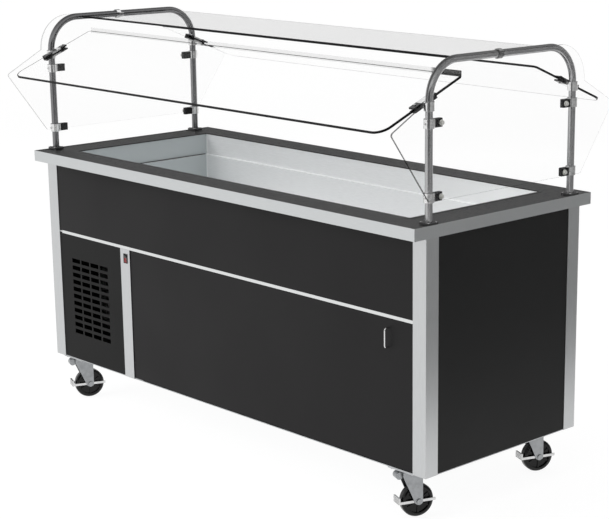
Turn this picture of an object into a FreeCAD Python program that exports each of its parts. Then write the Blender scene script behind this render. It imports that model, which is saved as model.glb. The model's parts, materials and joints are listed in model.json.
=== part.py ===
"""Mobile salad bar: a cold well in a counter on four casters, with a clear guard over it.

Millimetres. The origin is on the floor under the middle of the counter, +Z is up, the counter's
length runs along X and its door side faces -Y.
"""
import FreeCAD, Part
import os
import re
import Sketcher

doc = FreeCAD.newDocument("MobileSaladBar")

# ---------------------------------------------------------------------------------------------
# Driving dimensions
# ---------------------------------------------------------------------------------------------
SIZES = [
    # counter top
    ("counter_height", 889, "deck above the floor"),
    ("top_length", 1842, "fascia, end to end"),
    ("top_depth", 762, "fascia, front to back"),
    ("fascia_drop", 36, "height of the turned-down edge"),
    ("fascia_sheet", 2, "its sheet"),
    ("deck_sheet", 3, "deck, with its bead"),
    ("bead_width", 8, "raised bead along the deck's edges"),
    ("bead_rise", 1.2, "bead above the deck's plane"),
    ("seam_inset", 10, "butt seam, in from the end of the opening"),
    ("seam_width", 1.2, "butt seam"),
    ("seam_depth", 0.6, "butt seam, below the deck's plane"),
    # cold well
    ("band_end", 116, "deck beside the opening, at the counter's ends"),
    ("band_side", 99, "deck beside the opening, at its front and back"),
    ("opening_corner", 6, "inside radius of the opening's corners"),
    ("ledge_drop", 76, "pan ledge below the bead"),
    ("ledge_width", 13, "pan ledge"),
    ("well_depth", 203, "well floor below the bead"),
    ("well_corner", 5, "inside radius of the lower well's corners"),
    ("liner_sheet", 1.5, "well liner"),
    ("wall_foam", 25, "insulation round the well"),
    ("floor_foam", 34, "insulation under the well"),
    # cabinet
    ("top_overhang_end", 3, "fascia beyond the posts, at the ends"),
    ("top_overhang_side", 49.5, "fascia beyond the posts, at front and back"),
    ("floor_clearance", 153, "underside of the cabinet above the floor"),
    ("post_front", 52, "corner post, front leg"),
    ("post_side", 50, "corner post, side leg"),
    ("post_sheet", 2, "corner post and divider sheet"),
    ("panel_sheet", 1.5, "folded panels"),
    ("panel_fold", 18, "depth of a panel's folded edges"),
    ("panel_tuck", 10, "panel tucked behind a post"),
    ("base_sheet", 2.5, "base pan"),
    ("base_lip", 15, "base pan's upstand, above its floor"),
    ("lip_inset", 29.5, "upstand behind the panels' faces"),
    ("trim_drop", 288, "lower edge of the bright trim below the deck"),
    ("trim_height", 10, "bright trim"),
    ("trim_proud", 1.5, "bright trim in front of the panels"),
    ("trim_web", 4, "web behind the trim, between the panels"),
    ("trim_web_depth", 29.5, "web, front to back"),
    ("trim_start", 16, "bare gap between the left post and the trim"),
    # machine bay front
    ("vent_width", 354, "vent panel, between post and divider"),
    ("strip_width", 51, "divider strip"),
    ("strip_fold", 18, "divider strip's folded edges, behind the panels' faces"),
    ("grille_columns", 4, "slots side by side"),
    ("grille_rows", 11, "slots above each other"),
    ("grille_inset", 66, "first slot, from the post"),
    ("grille_drop", 351, "lowest slot below the trim"),
    ("slot_width", 46, "air slot"),
    ("slot_gap", 8, "metal between two slots in a row"),
    ("slot_height", 15, "air slot"),
    ("slot_pitch", 25.4, "row to row"),
    # rocker switch
    ("switch_inset", 28.5, "switch centre, from the strip's left edge"),
    ("switch_drop", 32, "switch centre below the trim"),
    ("bezel_width", 19, "switch bezel"),
    ("bezel_tall", 32, "switch bezel"),
    ("bezel_proud", 2, "bezel in front of the strip"),
    ("bezel_rim", 2.2, "rim of the bezel"),
    ("switch_depth", 24, "switch housing behind the strip"),
    ("housing_wall", 1, "switch housing"),
    ("rocker_side_gap", 0.4, "rocker to housing, at its sides"),
    ("rocker_end_gap", 1.2, "rocker to housing, at its ends"),
    ("rocker_axle", 1.5, "radius of the rocker's axle"),
    ("rocker_setback", 3, "axle behind the strip's face"),
    ("rocker_rise", 6, "rocker's ends in front of its axle"),
    ("rocker_dish", 2.2, "hollow in the middle of the rocker"),
    ("rocker_depth", 8, "rocker behind its axle"),
    ("rocker_tilt", 7, "rocker's rest tilt, degrees"),
    # storage door
    ("door_gap", 3, "gap at the door's upright edges"),
    ("door_top_gap", 2, "gap under the trim"),
    ("door_bottom_gap", 2.5, "gap over the base pan"),
    ("pivot_inset", 14, "pivot axis, from the door's edge"),
    ("pivot_setback", 8, "pivot axis behind the door's face"),
    ("pivot_pin", 3.5, "radius of the pivot pins"),
    ("pivot_length", 14, "pivot pin above its plate"),
    ("pivot_plate", 1.7, "pivot plate"),
    ("pivot_plate_length", 44, "pivot plate, along the door"),
    ("pivot_plate_depth", 18, "pivot plate, front to back"),
    ("bush_radius", 6, "outside radius of a door bush"),
    ("bush_length", 9, "door bush"),
    ("pull_inset", 98, "wire pull, from the right post"),
    ("pull_drop", 86, "wire pull, centre of the lower leg below the trim"),
    ("pull_span", 57, "wire pull, between the centres of its legs"),
    ("pull_reach", 16, "wire pull, centre in front of the door"),
    ("pull_wire", 2.5, "radius of the wire"),
    ("pull_bend", 7, "bend radius of the wire"),
    ("catch_length", 42, "magnetic catch"),
    ("catch_height", 22, "magnetic catch"),
    ("catch_depth", 15, "magnetic catch"),
    ("catch_inset", 60, "magnetic catch, from the door's right edge"),
    # inside the storage side
    ("wall_inset", 8, "wall of the machine bay, from the divider's right edge"),
    ("shelf_height", 398, "top of the shelf above the floor"),
    ("shelf_fold", 22, "shelf's turned-down edges"),
    ("shelf_setback", 36, "shelf behind the panels' faces"),
    # machinery
    ("coil_tube", 4.75, "radius of the coil tube"),
    ("coil_runs", 6, "runs of the coil under the well"),
    ("coil_pitch", 80, "run to run"),
    ("coil_end", 65, "coil bends, in from the lower well's ends"),
    ("solder_gap", 0.3, "coil under the liner"),
    ("coil_pocket", 11, "depth of the space for the coil in the insulation"),
    ("coil_margin", 18, "that space, in from the lower well's walls"),
    ("compressor_radius", 75, "compressor shell"),
    ("compressor_height", 190, "compressor shell"),
    ("compressor_crown", 60, "flat part of the shell's ends, radius"),
    ("compressor_shoulder", 27, "sloping part of the shell's lower end"),
    ("compressor_dome", 9, "crown's edge below the shell's top"),
    ("compressor_back", 150, "compressor axis behind the middle"),
    ("compressor_foot", 8, "compressor base plate above the pan"),
    ("compressor_flange", 16, "base plate beyond the shell"),
    ("stub_radius", 8, "pipe stubs on compressor and condenser"),
    ("stub_root", 63, "suction stub inside the shell"),
    ("stub_height", 14, "suction stub above the shell"),
    ("condenser_depth", 44, "condenser, front to back"),
    ("condenser_fin", 1, "condenser fin"),
    ("condenser_fins", 16, "condenser fins between the side plates"),
    ("condenser_tube", 5, "radius of the condenser tubes"),
    ("condenser_tubes", 5, "tubes above each other"),
    ("condenser_plate", 2, "condenser side plates and shroud"),
    ("riser_radius", 6.5, "pipe stub on the condenser's header"),
    ("riser_height", 6, "pipe stub above the header"),
    ("shroud_radius", 104, "air opening of the shroud"),
    ("shroud_collar", 44, "collar round the fan"),
    ("motor_radius", 34, "fan motor"),
    ("motor_length", 58, "fan motor"),
    ("strut_width", 16, "motor struts"),
    ("fan_radius", 97, "fan, to the blade tips"),
    ("fan_hub", 18, "radius of the fan's hub"),
    ("hub_length", 20, "fan hub"),
    ("fan_shaft", 4, "radius of the fan's shaft"),
    ("shaft_depth", 20, "fan's shaft inside the motor"),
    ("fan_blades_count", 5, "fan blades"),
    ("blade_width", 38, "fan blade"),
    ("blade_sheet", 1.6, "fan blade"),
    ("blade_pitch", 28, "fan blade, degrees"),
    # drain
    ("drain_side", 78, "drain axis, from the bay wall"),
    ("drain_back", 160, "drain axis behind the middle"),
    ("pipe_radius", 13.4, "drain pipe"),
    ("pipe_bore", 10, "radius of the drain's bore"),
    ("strainer_radius", 28, "strainer flange in the well"),
    ("strainer_sheet", 2, "strainer flange above the well's floor"),
    ("drain_nut", 24, "radius of the nut under the well"),
    ("nut_height", 9, "nut under the well"),
    ("valve_radius", 20, "valve body"),
    ("valve_height", 131, "valve stem above the floor"),
    ("outlet_height", 88, "lower end of the drain's outlet above the floor"),
    ("bonnet_radius", 10, "valve bonnet"),
    ("bonnet_reach", 28, "bonnet, from the pipe's axis"),
    ("stem_radius", 5, "valve stem"),
    ("stem_depth", 7, "valve stem in the bonnet"),
    ("lever_length", 90, "drain lever, from the stem"),
    ("lever_width", 14, "drain lever"),
    ("lever_corner", 6.3, "drain lever's rounded corners"),
    ("lever_sheet", 4, "drain lever"),
    # controls at the back
    ("control_drop", 61, "thermostat below the trim's level"),
    ("thermostat_width", 60, "thermostat"),
    ("thermostat_tall", 50, "thermostat"),
    ("thermostat_depth", 36, "thermostat"),
    ("knob_radius", 20, "thermostat knob's skirt"),
    ("knob_skirt", 4.5, "thickness of the knob's skirt"),
    ("knob_grip", 16.5, "radius of the knob's grip"),
    ("knob_bevel", 1.5, "bevel of the knob's end"),
    ("knob_depth", 18, "thermostat knob"),
    ("knob_shaft", 4, "radius of the knob's shaft"),
    ("knob_shaft_length", 14, "knob shaft behind the panel's face"),
    ("inlet_side", 100, "power inlet, from the thermostat towards the post"),
    ("inlet_height", 230, "power inlet above the floor"),
    ("inlet_width", 50, "power inlet flange"),
    ("inlet_tall", 28, "power inlet flange"),
    ("inlet_flange", 2, "power inlet flange"),
    ("inlet_depth", 30, "power inlet housing behind the panel's face"),
    ("inlet_wall", 3, "power inlet housing"),
    ("inlet_margin", 4, "flange round the housing"),
    ("blade_long", 14, "power inlet blades"),
    ("blade_spacing", 8.3, "blade to blade"),
    ("blade_thick", 1.5, "power inlet blades"),
    ("blade_tall", 3, "power inlet blades"),
    # arches
    ("arch_inset", 20, "arch's axis, in from the counter's end"),
    ("arch_setback", 76, "arch's posts, in from the counter's front and back"),
    ("arch_rise", 448, "top bar's axis above the deck"),
    ("arch_bend", 108, "bend radius at the axis"),
    ("tube_radius", 11, "arch tube"),
    ("tube_wall", 1.5, "arch tube"),
    ("flange_size", 40, "square foot flange"),
    ("flange_height", 6, "square foot flange"),
    ("flange_corner", 4, "its corners"),
    ("screw_spacing", 29, "flange screws"),
    ("screw_shank", 2.4, "radius of the screw shank"),
    ("screw_head", 3.8, "radius of the screw head"),
    ("screw_head_height", 2, "screw head"),
    # guards
    ("guard_sheet", 6, "clear sheets"),
    ("guard_inset", 16, "ends of the sloping sheets, in from the arches' axes"),
    ("guard_drop", 114, "sloping sheet's middle plane at the posts, below the top bar"),
    ("guard_tilt", 22.1, "slope of the front and back guards, degrees"),
    ("guard_rise", 162, "sheet above the posts, along the slope"),
    ("guard_reach", 180, "sheet below the posts, along the slope"),
    ("guard_low_corner", 40, "lower corners of the sloping sheets"),
    ("guard_high_corner", 12, "upper corners of the sloping sheets"),
    ("top_guard_inset", 13, "ends of the top guard, in from the arches' axes"),
    ("top_guard_setback", 118.5, "edges of the top guard, in from the posts' axes"),
    ("top_guard_corner", 10, "top guard"),
    ("end_foot_out", 20, "end guard, low corners beyond the posts' axes"),
    ("end_foot_rise", 66, "end guard, low edge above the deck"),
    ("end_tip_out", 167, "end guard, tips beyond the posts' axes"),
    ("end_tip_drop", 180, "end guard, tips below the top bar"),
    ("end_neck_out", 29, "end guard, necks beyond the posts' axes"),
    ("end_neck_drop", 105, "end guard, necks below the top bar"),
    ("end_head_out", 25, "end guard, head corners beyond the posts' axes"),
    ("end_head_rise", 8, "end guard, top edge above the top bar's axis"),
    ("end_guard_head_corner", 110, "end guard, head corners"),
    ("end_guard_tip_corner", 8, "end guard, tips and low corners"),
    # clamps
    ("clamp_ring", 15.5, "outside radius of the clamps' rings"),
    ("clamp_height", 26, "clamp ring"),
    ("low_clamp_rise", 74, "lower end clamps above the deck"),
    ("high_clamp_drop", 169, "upper end clamps below the top bar"),
    ("jaw_reach", 49, "jaw, from the post's axis"),
    ("jaw_height", 24, "jaw"),
    ("jaw_width", 16, "jaw"),
    ("jaw_corner", 6, "jaw's rounded end"),
    ("guard_jaw_length", 92, "guard clamp, along the slope"),
    ("guard_jaw_cover", 17, "guard clamp over the sheet"),
    ("guard_jaw_plate", 5, "guard clamp's plates"),
    ("guard_jaw_gap", 1, "guard clamp's back to the post"),
    ("clip_length", 16, "top clip, along the bar"),
    ("clip_offset", 25, "top clip, from the bar's middle towards the front"),
    ("clip_ring", 14.5, "outside radius of the top clip"),
    ("clip_plate", 3, "top clip's lips"),
    # casters
    ("wheel_radius", 50.8, "4 inch wheel"),
    ("wheel_width", 32, "tread"),
    ("wheel_edge", 8, "rounded edge of the tread"),
    ("wheel_rim", 38, "outer radius of the wheel's hollow face"),
    ("wheel_dish", 5, "depth of the wheel's hollow face"),
    ("hub_radius", 15, "wheel hub"),
    ("hub_width", 33, "wheel hub"),
    ("wheel_inset_end", 98, "wheel centres, in from the posts' end faces"),
    ("wheel_inset_side", 61.5, "wheel centres, in from the posts' front and back faces"),
    ("caster_trail", 20, "wheel centre behind the swivel axis"),
    ("caster_heading", 21.7, "how far the parked casters are turned, degrees"),
    ("plate_length", 102, "caster plate, along the counter"),
    ("plate_depth", 80, "caster plate, front to back"),
    ("plate_sheet", 4, "caster plate"),
    ("race_radius", 26, "ball race"),
    ("race_height", 4, "ball race"),
    ("kingpin_radius", 6, "kingpin"),
    ("kingpin_head", 10, "radius of the kingpin's head"),
    ("kingpin_head_height", 5, "kingpin head"),
    ("fork_sheet", 3, "caster fork"),
    ("fork_inside", 40, "between the fork's legs"),
    ("fork_front", 32, "fork, ahead of the swivel axis"),
    ("fork_back", 30, "fork, behind the swivel axis"),
    ("fork_front_edge", 24, "upright front edge of the fork's legs"),
    ("fork_back_edge", 12, "upright back edge of the fork's legs"),
    ("fork_tip", 12, "fork below the axle"),
    ("fork_tip_corner", 7, "rounded fork tip"),
    ("axle_radius", 5, "axle bolt"),
    ("axle_head", 8, "radius of the axle's head and nut"),
    ("axle_head_height", 4, "axle's head and nut"),
    ("lock_roll_radius", 11, "round lock pad at the fork's back"),
    ("lock_roll_length", 26, "round lock pad"),
    ("lock_roll_back", 38, "lock pad behind the swivel axis"),
    ("strap_sheet", 2.5, "brake strap"),
    ("strap_height", 8, "brake strap"),
    ("strap_front", 54, "brake strap ahead of the axle"),
    ("strap_back", 64, "brake strap behind the axle"),
    ("strap_side_gap", 0.5, "brake strap to the fork"),
    ("pedal_height", 20, "brake pedal bar"),
    ("pedal_sheet", 6, "brake pedal bar"),
    ("pedal_ribs", 5, "ribs of the brake pedal"),
    ("pedal_rib_depth", 1.5, "ribs of the brake pedal"),
    # clearances
    ("running_fit", 0.05, "radial play of pins and shafts"),
    ("running_gap", 0.3, "play between turning faces"),
    ("hole_play", 0.3, "radial play of a hole round what only passes through"),
]
# sizes that follow from those above, written as the sheet's own formulas
FOLLOWING = [
    ("opening_length", "top_length - 2 * band_end", "well opening"),
    ("opening_depth", "top_depth - 2 * band_side", "well opening"),
    ("body_length", "top_length - 2 * top_overhang_end", "posts, outside to outside"),
    ("body_depth", "top_depth - 2 * top_overhang_side", "posts, outside to outside"),
    ("trim_bottom", "counter_height - trim_drop", "lower edge of the bright trim"),
    ("grille_bottom", "trim_bottom - grille_drop", "lowest slot"),
    ("switch_height", "trim_bottom - switch_drop", "switch centre"),
    ("pull_bottom", "trim_bottom - pull_drop", "wire pull, centre of the lower leg"),
    ("control_height", "trim_bottom - control_drop", "thermostat"),
    ("arch_span", "top_length - 2 * arch_inset", "arch to arch"),
    ("post_spacing", "top_depth - 2 * arch_setback", "post to post of an arch"),
    ("arch_height", "counter_height + arch_rise", "top bar's axis"),
    ("guard_length", "arch_span - 2 * guard_inset", "front and back guards"),
    ("guard_height", "arch_height - guard_drop", "sloping sheet's middle plane at the posts"),
    ("top_guard_length", "arch_span - 2 * top_guard_inset", "top guard"),
    ("top_guard_depth", "post_spacing - 2 * top_guard_setback", "top guard"),
    ("end_clamp_low", "counter_height + low_clamp_rise", "lower end clamps"),
    ("end_clamp_high", "arch_height - high_clamp_drop", "upper end clamps"),
    ("wheel_grid_x", "body_length / 2 - wheel_inset_end", "wheel centres from the middle"),
    ("wheel_grid_y", "body_depth / 2 - wheel_inset_side", "wheel centres from the middle"),
]
ALIASES = {alias for alias, size, meaning in SIZES + FOLLOWING}

sheet = doc.addObject("Spreadsheet::Sheet", "Sizes")
for row, (alias, size, meaning) in enumerate(SIZES + FOLLOWING, start=1):
    sheet.set(f"A{row}", meaning)
    sheet.set(f"B{row}", "=" + size if isinstance(size, str) else str(size))
    sheet.setAlias(f"B{row}", alias)
doc.recompute()


# ---------------------------------------------------------------------------------------------
# Helpers: a formula is text made of the sheet's names, and every size is bound to one
# ---------------------------------------------------------------------------------------------
def in_sheet(formula):
    """The formula with each of the sheet's names written as an object's property reads it."""
    def cell(word):
        return "Sizes." + word.group() if word.group() in ALIASES else word.group()
    return re.sub(r"[a-z_][a-z_0-9]*", cell, str(formula))


def bind(item, place, formula):
    item.setExpression(place, in_sheet(formula))


def number(formula):
    """The formula's value now, for choosing edges and directions."""
    return float(sheet.evalExpression(in_sheet(formula)))


def count(alias):
    return int(round(sheet.get(alias)))


def move(item, x=0, y=0, z=0):
    for axis, formula in zip("xyz", (x, y, z)):
        bind(item, "Placement.Base." + axis, formula)
    return item


def turn(item, axis, angle):
    """Turn an item about its own origin; the angle is bound."""
    item.Placement = FreeCAD.Placement(item.Placement.Base, FreeCAD.Rotation(FreeCAD.Vector(*axis), 1))
    bind(item, "Placement.Rotation.Angle", angle)
    return item


def box(label, x, y, z):
    """A block between two formulas on each axis."""
    block = doc.addObject("Part::Box", label)
    for side, (low, high) in zip(("Length", "Width", "Height"), (x, y, z)):
        bind(block, side, f"({high}) - ({low})")
    return move(block, x[0], y[0], z[0])


COINCIDENT = 1 / 100
AIM = {
    "x": FreeCAD.Rotation(FreeCAD.Vector(0, 1, 0), 90),
    "y": FreeCAD.Rotation(FreeCAD.Vector(1, 0, 0), -90),
    "z": FreeCAD.Rotation(),
}


def rod(label, axis, start, length, radius):
    """A round bar that runs from its start the positive way along an axis."""
    bar = doc.addObject("Part::Cylinder", label)
    bar.Placement = FreeCAD.Placement(FreeCAD.Vector(), AIM[axis])
    bind(bar, "Radius", radius)
    bind(bar, "Height", length)
    return move(bar, *start)


def elbow(label, centre, first, second, bend, radius):
    """A quarter bend about a centre, from the first direction round to the second."""
    quarter = doc.addObject("Part::Torus", label)
    turned = FreeCAD.Rotation(first, second, first.cross(second), "XYZ")
    quarter.Placement = FreeCAD.Placement(FreeCAD.Vector(), turned)
    quarter.Angle3 = 90
    bind(quarter, "Radius1", bend)
    bind(quarter, "Radius2", radius)
    return move(quarter, *centre)


def fuse(label, *items):
    joined = doc.addObject("Part::MultiFuse", label)
    joined.Shapes = list(items)
    return joined


def cut(label, base, *tools):
    rest = doc.addObject("Part::Cut", label)
    rest.Base = base
    rest.Tool = tools[0] if len(tools) == 1 else together(label + "_tools", *tools)
    return rest


def common(label, *items):
    shared = doc.addObject("Part::MultiCommon", label)
    shared.Shapes = list(items)
    return shared


def together(label, *items):
    """Separate solids in one group, or one item that is moved or turned again."""
    group = doc.addObject("Part::Compound", label)
    group.Links = list(items)
    return group


def mirrored(label, item, normal):
    image = doc.addObject("Part::Mirroring", label)
    image.Source = item
    image.Normal = FreeCAD.Vector(*normal)
    return image


ACROSS_LENGTH = (1, 0, 0)
ACROSS_DEPTH = (0, 1, 0)


def at_four_corners(label, item):
    """The right front item and its three mirror images, as one group."""
    front_left = mirrored(label + "_front_left", item, ACROSS_LENGTH)
    back_right = mirrored(label + "_back_right", item, ACROSS_DEPTH)
    back_left = mirrored(label + "_back_left", back_right, ACROSS_LENGTH)
    return together(label, item, front_left, back_right, back_left)


def bar_path(label, points, radius, bend):
    """A round bar along the axes through points, with a quarter bend at each corner."""
    spots = [FreeCAD.Vector(*(number(formula) for formula in point)) for point in points]
    ways = [(after - before).normalize() for before, after in zip(spots, spots[1:])]
    parts = []
    last = len(ways) - 1
    for step, way in enumerate(ways):
        axis = max(range(3), key=lambda side: abs(way[side]))
        sign = 1 if way[axis] > 0 else -1
        low, high = (points[step], points[step + 1]) if sign > 0 else (points[step + 1], points[step])
        bend_low = step > 0 if sign > 0 else step < last
        bend_high = step < last if sign > 0 else step > 0
        trim_low = f"({bend})" if bend_low else "0"
        trim_high = f"({bend})" if bend_high else "0"
        length = f"({high[axis]}) - ({low[axis]}) - {trim_low} - {trim_high}"
        start = list(low)
        start[axis] = f"({low[axis]}) + {trim_low}"
        if number(length) > COINCIDENT:
            parts.append(rod(f"{label}_leg{step}", "xyz"[axis], start, length, radius))
        if step < last:
            following = ways[step + 1]
            corner = points[step + 1]
            centre = []
            for side in range(3):
                shift = following[side] - way[side]
                centre.append(f"({corner[side]}) + ({shift:.0f}) * ({bend})")
            parts.append(elbow(f"{label}_bend{step}", centre, -1 * following, way, bend, radius))
    return fuse(label, *parts)


PLANE_SIDES = {"XY_Plane": "xy", "XZ_Plane": "xz", "YZ_Plane": "yz"}


def outline_sketch(body, plane, outline):
    """A closed polygon whose corners are all bound, on one of the body's own planes."""
    sketch = body.newObject("Sketcher::SketchObject", body.Label + "_outline")
    support = next(item for item in body.Origin.OriginFeatures if item.Role == plane)
    sketch.AttachmentSupport = [(support, "")]
    sketch.MapMode = "FlatFace"
    corners = [FreeCAD.Vector(number(corner[0]), number(corner[1]), 0) for corner in outline]
    total = len(corners)
    for index in range(total):
        sketch.addGeometry(Part.LineSegment(corners[index], corners[(index + 1) % total]), False)
    for index in range(total):
        sketch.addConstraint(Sketcher.Constraint("Coincident", index, 2, (index + 1) % total, 1))
    for index, corner in enumerate(outline):
        for kind, formula in zip(("DistanceX", "DistanceY"), corner):
            held = sketch.addConstraint(Sketcher.Constraint(kind, -1, 1, index, 1, number(formula)))
            bind(sketch, f"Constraints[{held}]", formula)
    return sketch


def near(spot, corner):
    return all(abs(one - other) < COINCIDENT for one, other in zip(spot, corner))


def plate(label, plane, outline, low, high):
    """A flat piece between two levels; a third value at a corner is its rounding radius."""
    body = doc.addObject("PartDesign::Body", label)
    sketch = outline_sketch(body, plane, outline)
    start = f"-({high})" if plane == "XZ_Plane" else low
    bind(sketch, "AttachmentOffset.Base.z", start)
    tip = body.newObject("PartDesign::Pad", label + "_pad")
    tip.Profile = sketch
    bind(tip, "Length", f"({high}) - ({low})")
    across, upward = PLANE_SIDES[plane]
    rounded = {}
    for corner in outline:
        if len(corner) > 2:
            rounded.setdefault(corner[2], []).append((number(corner[0]), number(corner[1])))
    for radius, corners in rounded.items():
        doc.recompute()
        names = []
        for index, edge in enumerate(tip.Shape.Edges, start=1):
            first, last = edge.Vertexes[0].Point, edge.Vertexes[-1].Point
            spot = (getattr(first, across), getattr(first, upward))
            upright = near(spot, (getattr(last, across), getattr(last, upward)))
            if upright and any(near(spot, corner) for corner in corners):
                names.append(f"Edge{index}")
        fillet = body.newObject("PartDesign::Fillet", label + "_round")
        fillet.Base = (tip, names)
        bind(fillet, "Radius", radius)
        tip = fillet
    return body


def turned(label, outline):
    """A piece turned about Z; each corner is (radius, height)."""
    body = doc.addObject("PartDesign::Body", label)
    sketch = outline_sketch(body, "XZ_Plane", outline)
    spin = body.newObject("PartDesign::Revolution", label + "_spin")
    spin.Profile = sketch
    spin.ReferenceAxis = (sketch, ["V_Axis"])
    spin.Angle = 360
    return body


def tray(label, x, y, z, wall, open_side):
    """A sheet folded at its four edges: a block hollowed from one side ("+x", "-z" and so on)."""
    spans = []
    for axis, (low, high) in zip("xyz", (x, y, z)):
        inner_low = low if open_side == "-" + axis else f"({low}) + {wall}"
        inner_high = high if open_side == "+" + axis else f"({high}) - {wall}"
        spans.append((inner_low, inner_high))
    return cut(label, box(label + "_blank", x, y, z), box(label + "_hollow", *spans))


def folded_sheet(label, x, y, z, wall, open_side, *holes):
    """A tray that opens along Y, as five flat sheets: its face and the edges folded back from it."""
    (left, right), (front, back), (low, high) = x, y, z
    if open_side == "+y":
        face_y, fold_y = (front, f"({front}) + {wall}"), (f"({front}) + {wall}", back)
    else:
        face_y, fold_y = (f"({back}) - {wall}", back), (front, f"({back}) - {wall}")
    inner = (f"({left}) + {wall}", f"({right}) - {wall}")
    face = box(label + "_face", x, face_y, z)
    if holes:
        face = cut(label + "_pierced_face", face, *holes)
    return together(label, face,
                    box(label + "_left_fold", (left, inner[0]), fold_y, z),
                    box(label + "_right_fold", (inner[1], right), fold_y, z),
                    box(label + "_bottom_fold", inner, fold_y, (low, f"({low}) + {wall}")),
                    box(label + "_top_fold", inner, fold_y, (f"({high}) - {wall}", high)))


def round_block(label, length, depth, corner, low, high):
    """A centred block with rounded upright edges."""
    side, front = f"({length}) / 2", f"({depth}) / 2"
    outline = [(f"-{side}", f"-{front}", corner), (side, f"-{front}", corner),
               (side, front, corner), (f"-{side}", front, corner)]
    return plate(label, "XY_Plane", outline, low, high)


# ---------------------------------------------------------------------------------------------
# Levels and faces that several pieces share
# ---------------------------------------------------------------------------------------------
UNDER_DECK = "(counter_height - deck_sheet)"
LEDGE = "(counter_height - ledge_drop)"
WELL_FLOOR = "(counter_height - well_depth)"
UNDER_WELL = f"({WELL_FLOOR} - liner_sheet)"
UNDER_FOAM = f"({UNDER_WELL} - floor_foam)"
LOWER_LENGTH = "(opening_length - 2 * ledge_width)"
LOWER_DEPTH = "(opening_depth - 2 * ledge_width)"
BODY_END = "(body_length / 2)"
BODY_FACE = "(body_depth / 2)"
PANEL_END = f"({BODY_END} - post_sheet)"
PANEL_FACE = f"({BODY_FACE} - post_sheet)"
PANEL_BACK = f"({PANEL_FACE} - panel_fold)"
POST_EDGE = f"({BODY_END} - post_front)"
PANEL_EDGE = f"({POST_EDGE} + panel_tuck)"
BASE_TOP = "(floor_clearance + base_sheet)"
STRIP_LEFT = f"(-{POST_EDGE} + vent_width)"
STRIP_RIGHT = f"({STRIP_LEFT} + strip_width)"
WEB_BOTTOM = "(trim_bottom + (trim_height - trim_web) / 2)"
WEB_TOP = f"({WEB_BOTTOM} + trim_web)"
WEB_BACK = f"(-{PANEL_FACE} + trim_web_depth)"
BAY_WALL = f"({STRIP_RIGHT} - wall_inset)"
GRILLE_WIDTH = "(grille_columns * slot_width + (grille_columns - 1) * slot_gap)"
GRILLE_LEFT = f"(-{POST_EDGE} + grille_inset)"
GRILLE_RIGHT = f"({GRILLE_LEFT} + {GRILLE_WIDTH})"
GRILLE_TOP = "(grille_bottom + (grille_rows - 1) * slot_pitch + slot_height)"
MACHINE_X = f"({GRILLE_LEFT} + {GRILLE_WIDTH} / 2)"
ARCH_X = "(arch_span / 2)"
POST_Y = "(post_spacing / 2)"
nodes = []


def keep(item):
    """The item is a finished sub-part; its label names its file."""
    nodes.append(item)
    return item


# ---------------------------------------------------------------------------------------------
# Counter top and cold well
# ---------------------------------------------------------------------------------------------
def make_fascia():
    end, face = "(top_length / 2)", "(top_depth / 2)"
    bottom = "counter_height - fascia_drop"
    inner_end, inner_face = f"({end} - fascia_sheet)", f"({face} - fascia_sheet)"
    outside = box("fascia_blank", (f"-{end}", end), (f"-{face}", face), (bottom, "counter_height"))
    inside = box("fascia_inside", (f"-{inner_end}", inner_end), (f"-{inner_face}", inner_face),
                 (bottom, "counter_height"))
    keep(cut("fascia", outside, inside))


def flange_screw_holes(label, radius, low, high):
    """Bars at the screws of the right front foot, for screws and for their holes."""
    bars = []
    for side in (-1, 1):
        for row in (-1, 1):
            x = f"{ARCH_X} + ({side}) * screw_spacing / 2"
            y = f"-{POST_Y} + ({row}) * screw_spacing / 2"
            bars.append(rod(f"{label}_{side}_{row}", "z", (x, y, low), f"({high}) - ({low})", radius))
    return together(label, *bars)


def make_deck():
    end, face = "(top_length / 2 - fascia_sheet)", "(top_depth / 2 - fascia_sheet)"
    plane = "(counter_height - bead_rise)"
    blank = box("deck_blank", (f"-{end}", end), (f"-{face}", face), (UNDER_DECK, "counter_height"))
    opening = round_block("deck_opening", "opening_length", "opening_depth", "opening_corner",
                          UNDER_DECK, "counter_height")
    low_end, low_face = f"({end} - bead_width)", f"({face} - bead_width)"
    field = box("deck_field", (f"-{low_end}", low_end), (f"-{low_face}", low_face), (plane, "counter_height"))
    bead = round_block("opening_bead", "opening_length + 2 * bead_width", "opening_depth + 2 * bead_width",
                       "opening_corner + bead_width", plane, "counter_height")
    hollow = cut("deck_hollow", field, bead)
    seam_x = "(opening_length / 2 - seam_inset)"
    seams = []
    for side in (-1, 1):
        middle = f"({side}) * {seam_x}"
        seams.append(box(f"deck_seam_{side}", (f"{middle} - seam_width / 2", f"{middle} + seam_width / 2"),
                         (f"-{face}", face), (f"{plane} - seam_depth", "counter_height")))
    right_front = flange_screw_holes("deck_screw_hole", "screw_shank + hole_play", UNDER_DECK,
                                     "counter_height")
    screw_holes = at_four_corners("deck_screw_holes", right_front)
    sheets = cut("deck_sheets", blank, opening, hollow, *seams, screw_holes)
    z = (UNDER_DECK, "counter_height")
    spans = (("deck_left", f"-{end}", f"-{seam_x}"), ("deck_middle", f"-{seam_x}", seam_x),
             ("deck_right", seam_x, end))
    pieces = [common(name, sheets, box(name + "_reach", (left, right), (f"-{face}", face), z))
              for name, left, right in spans]
    keep(together("deck", *pieces))


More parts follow.
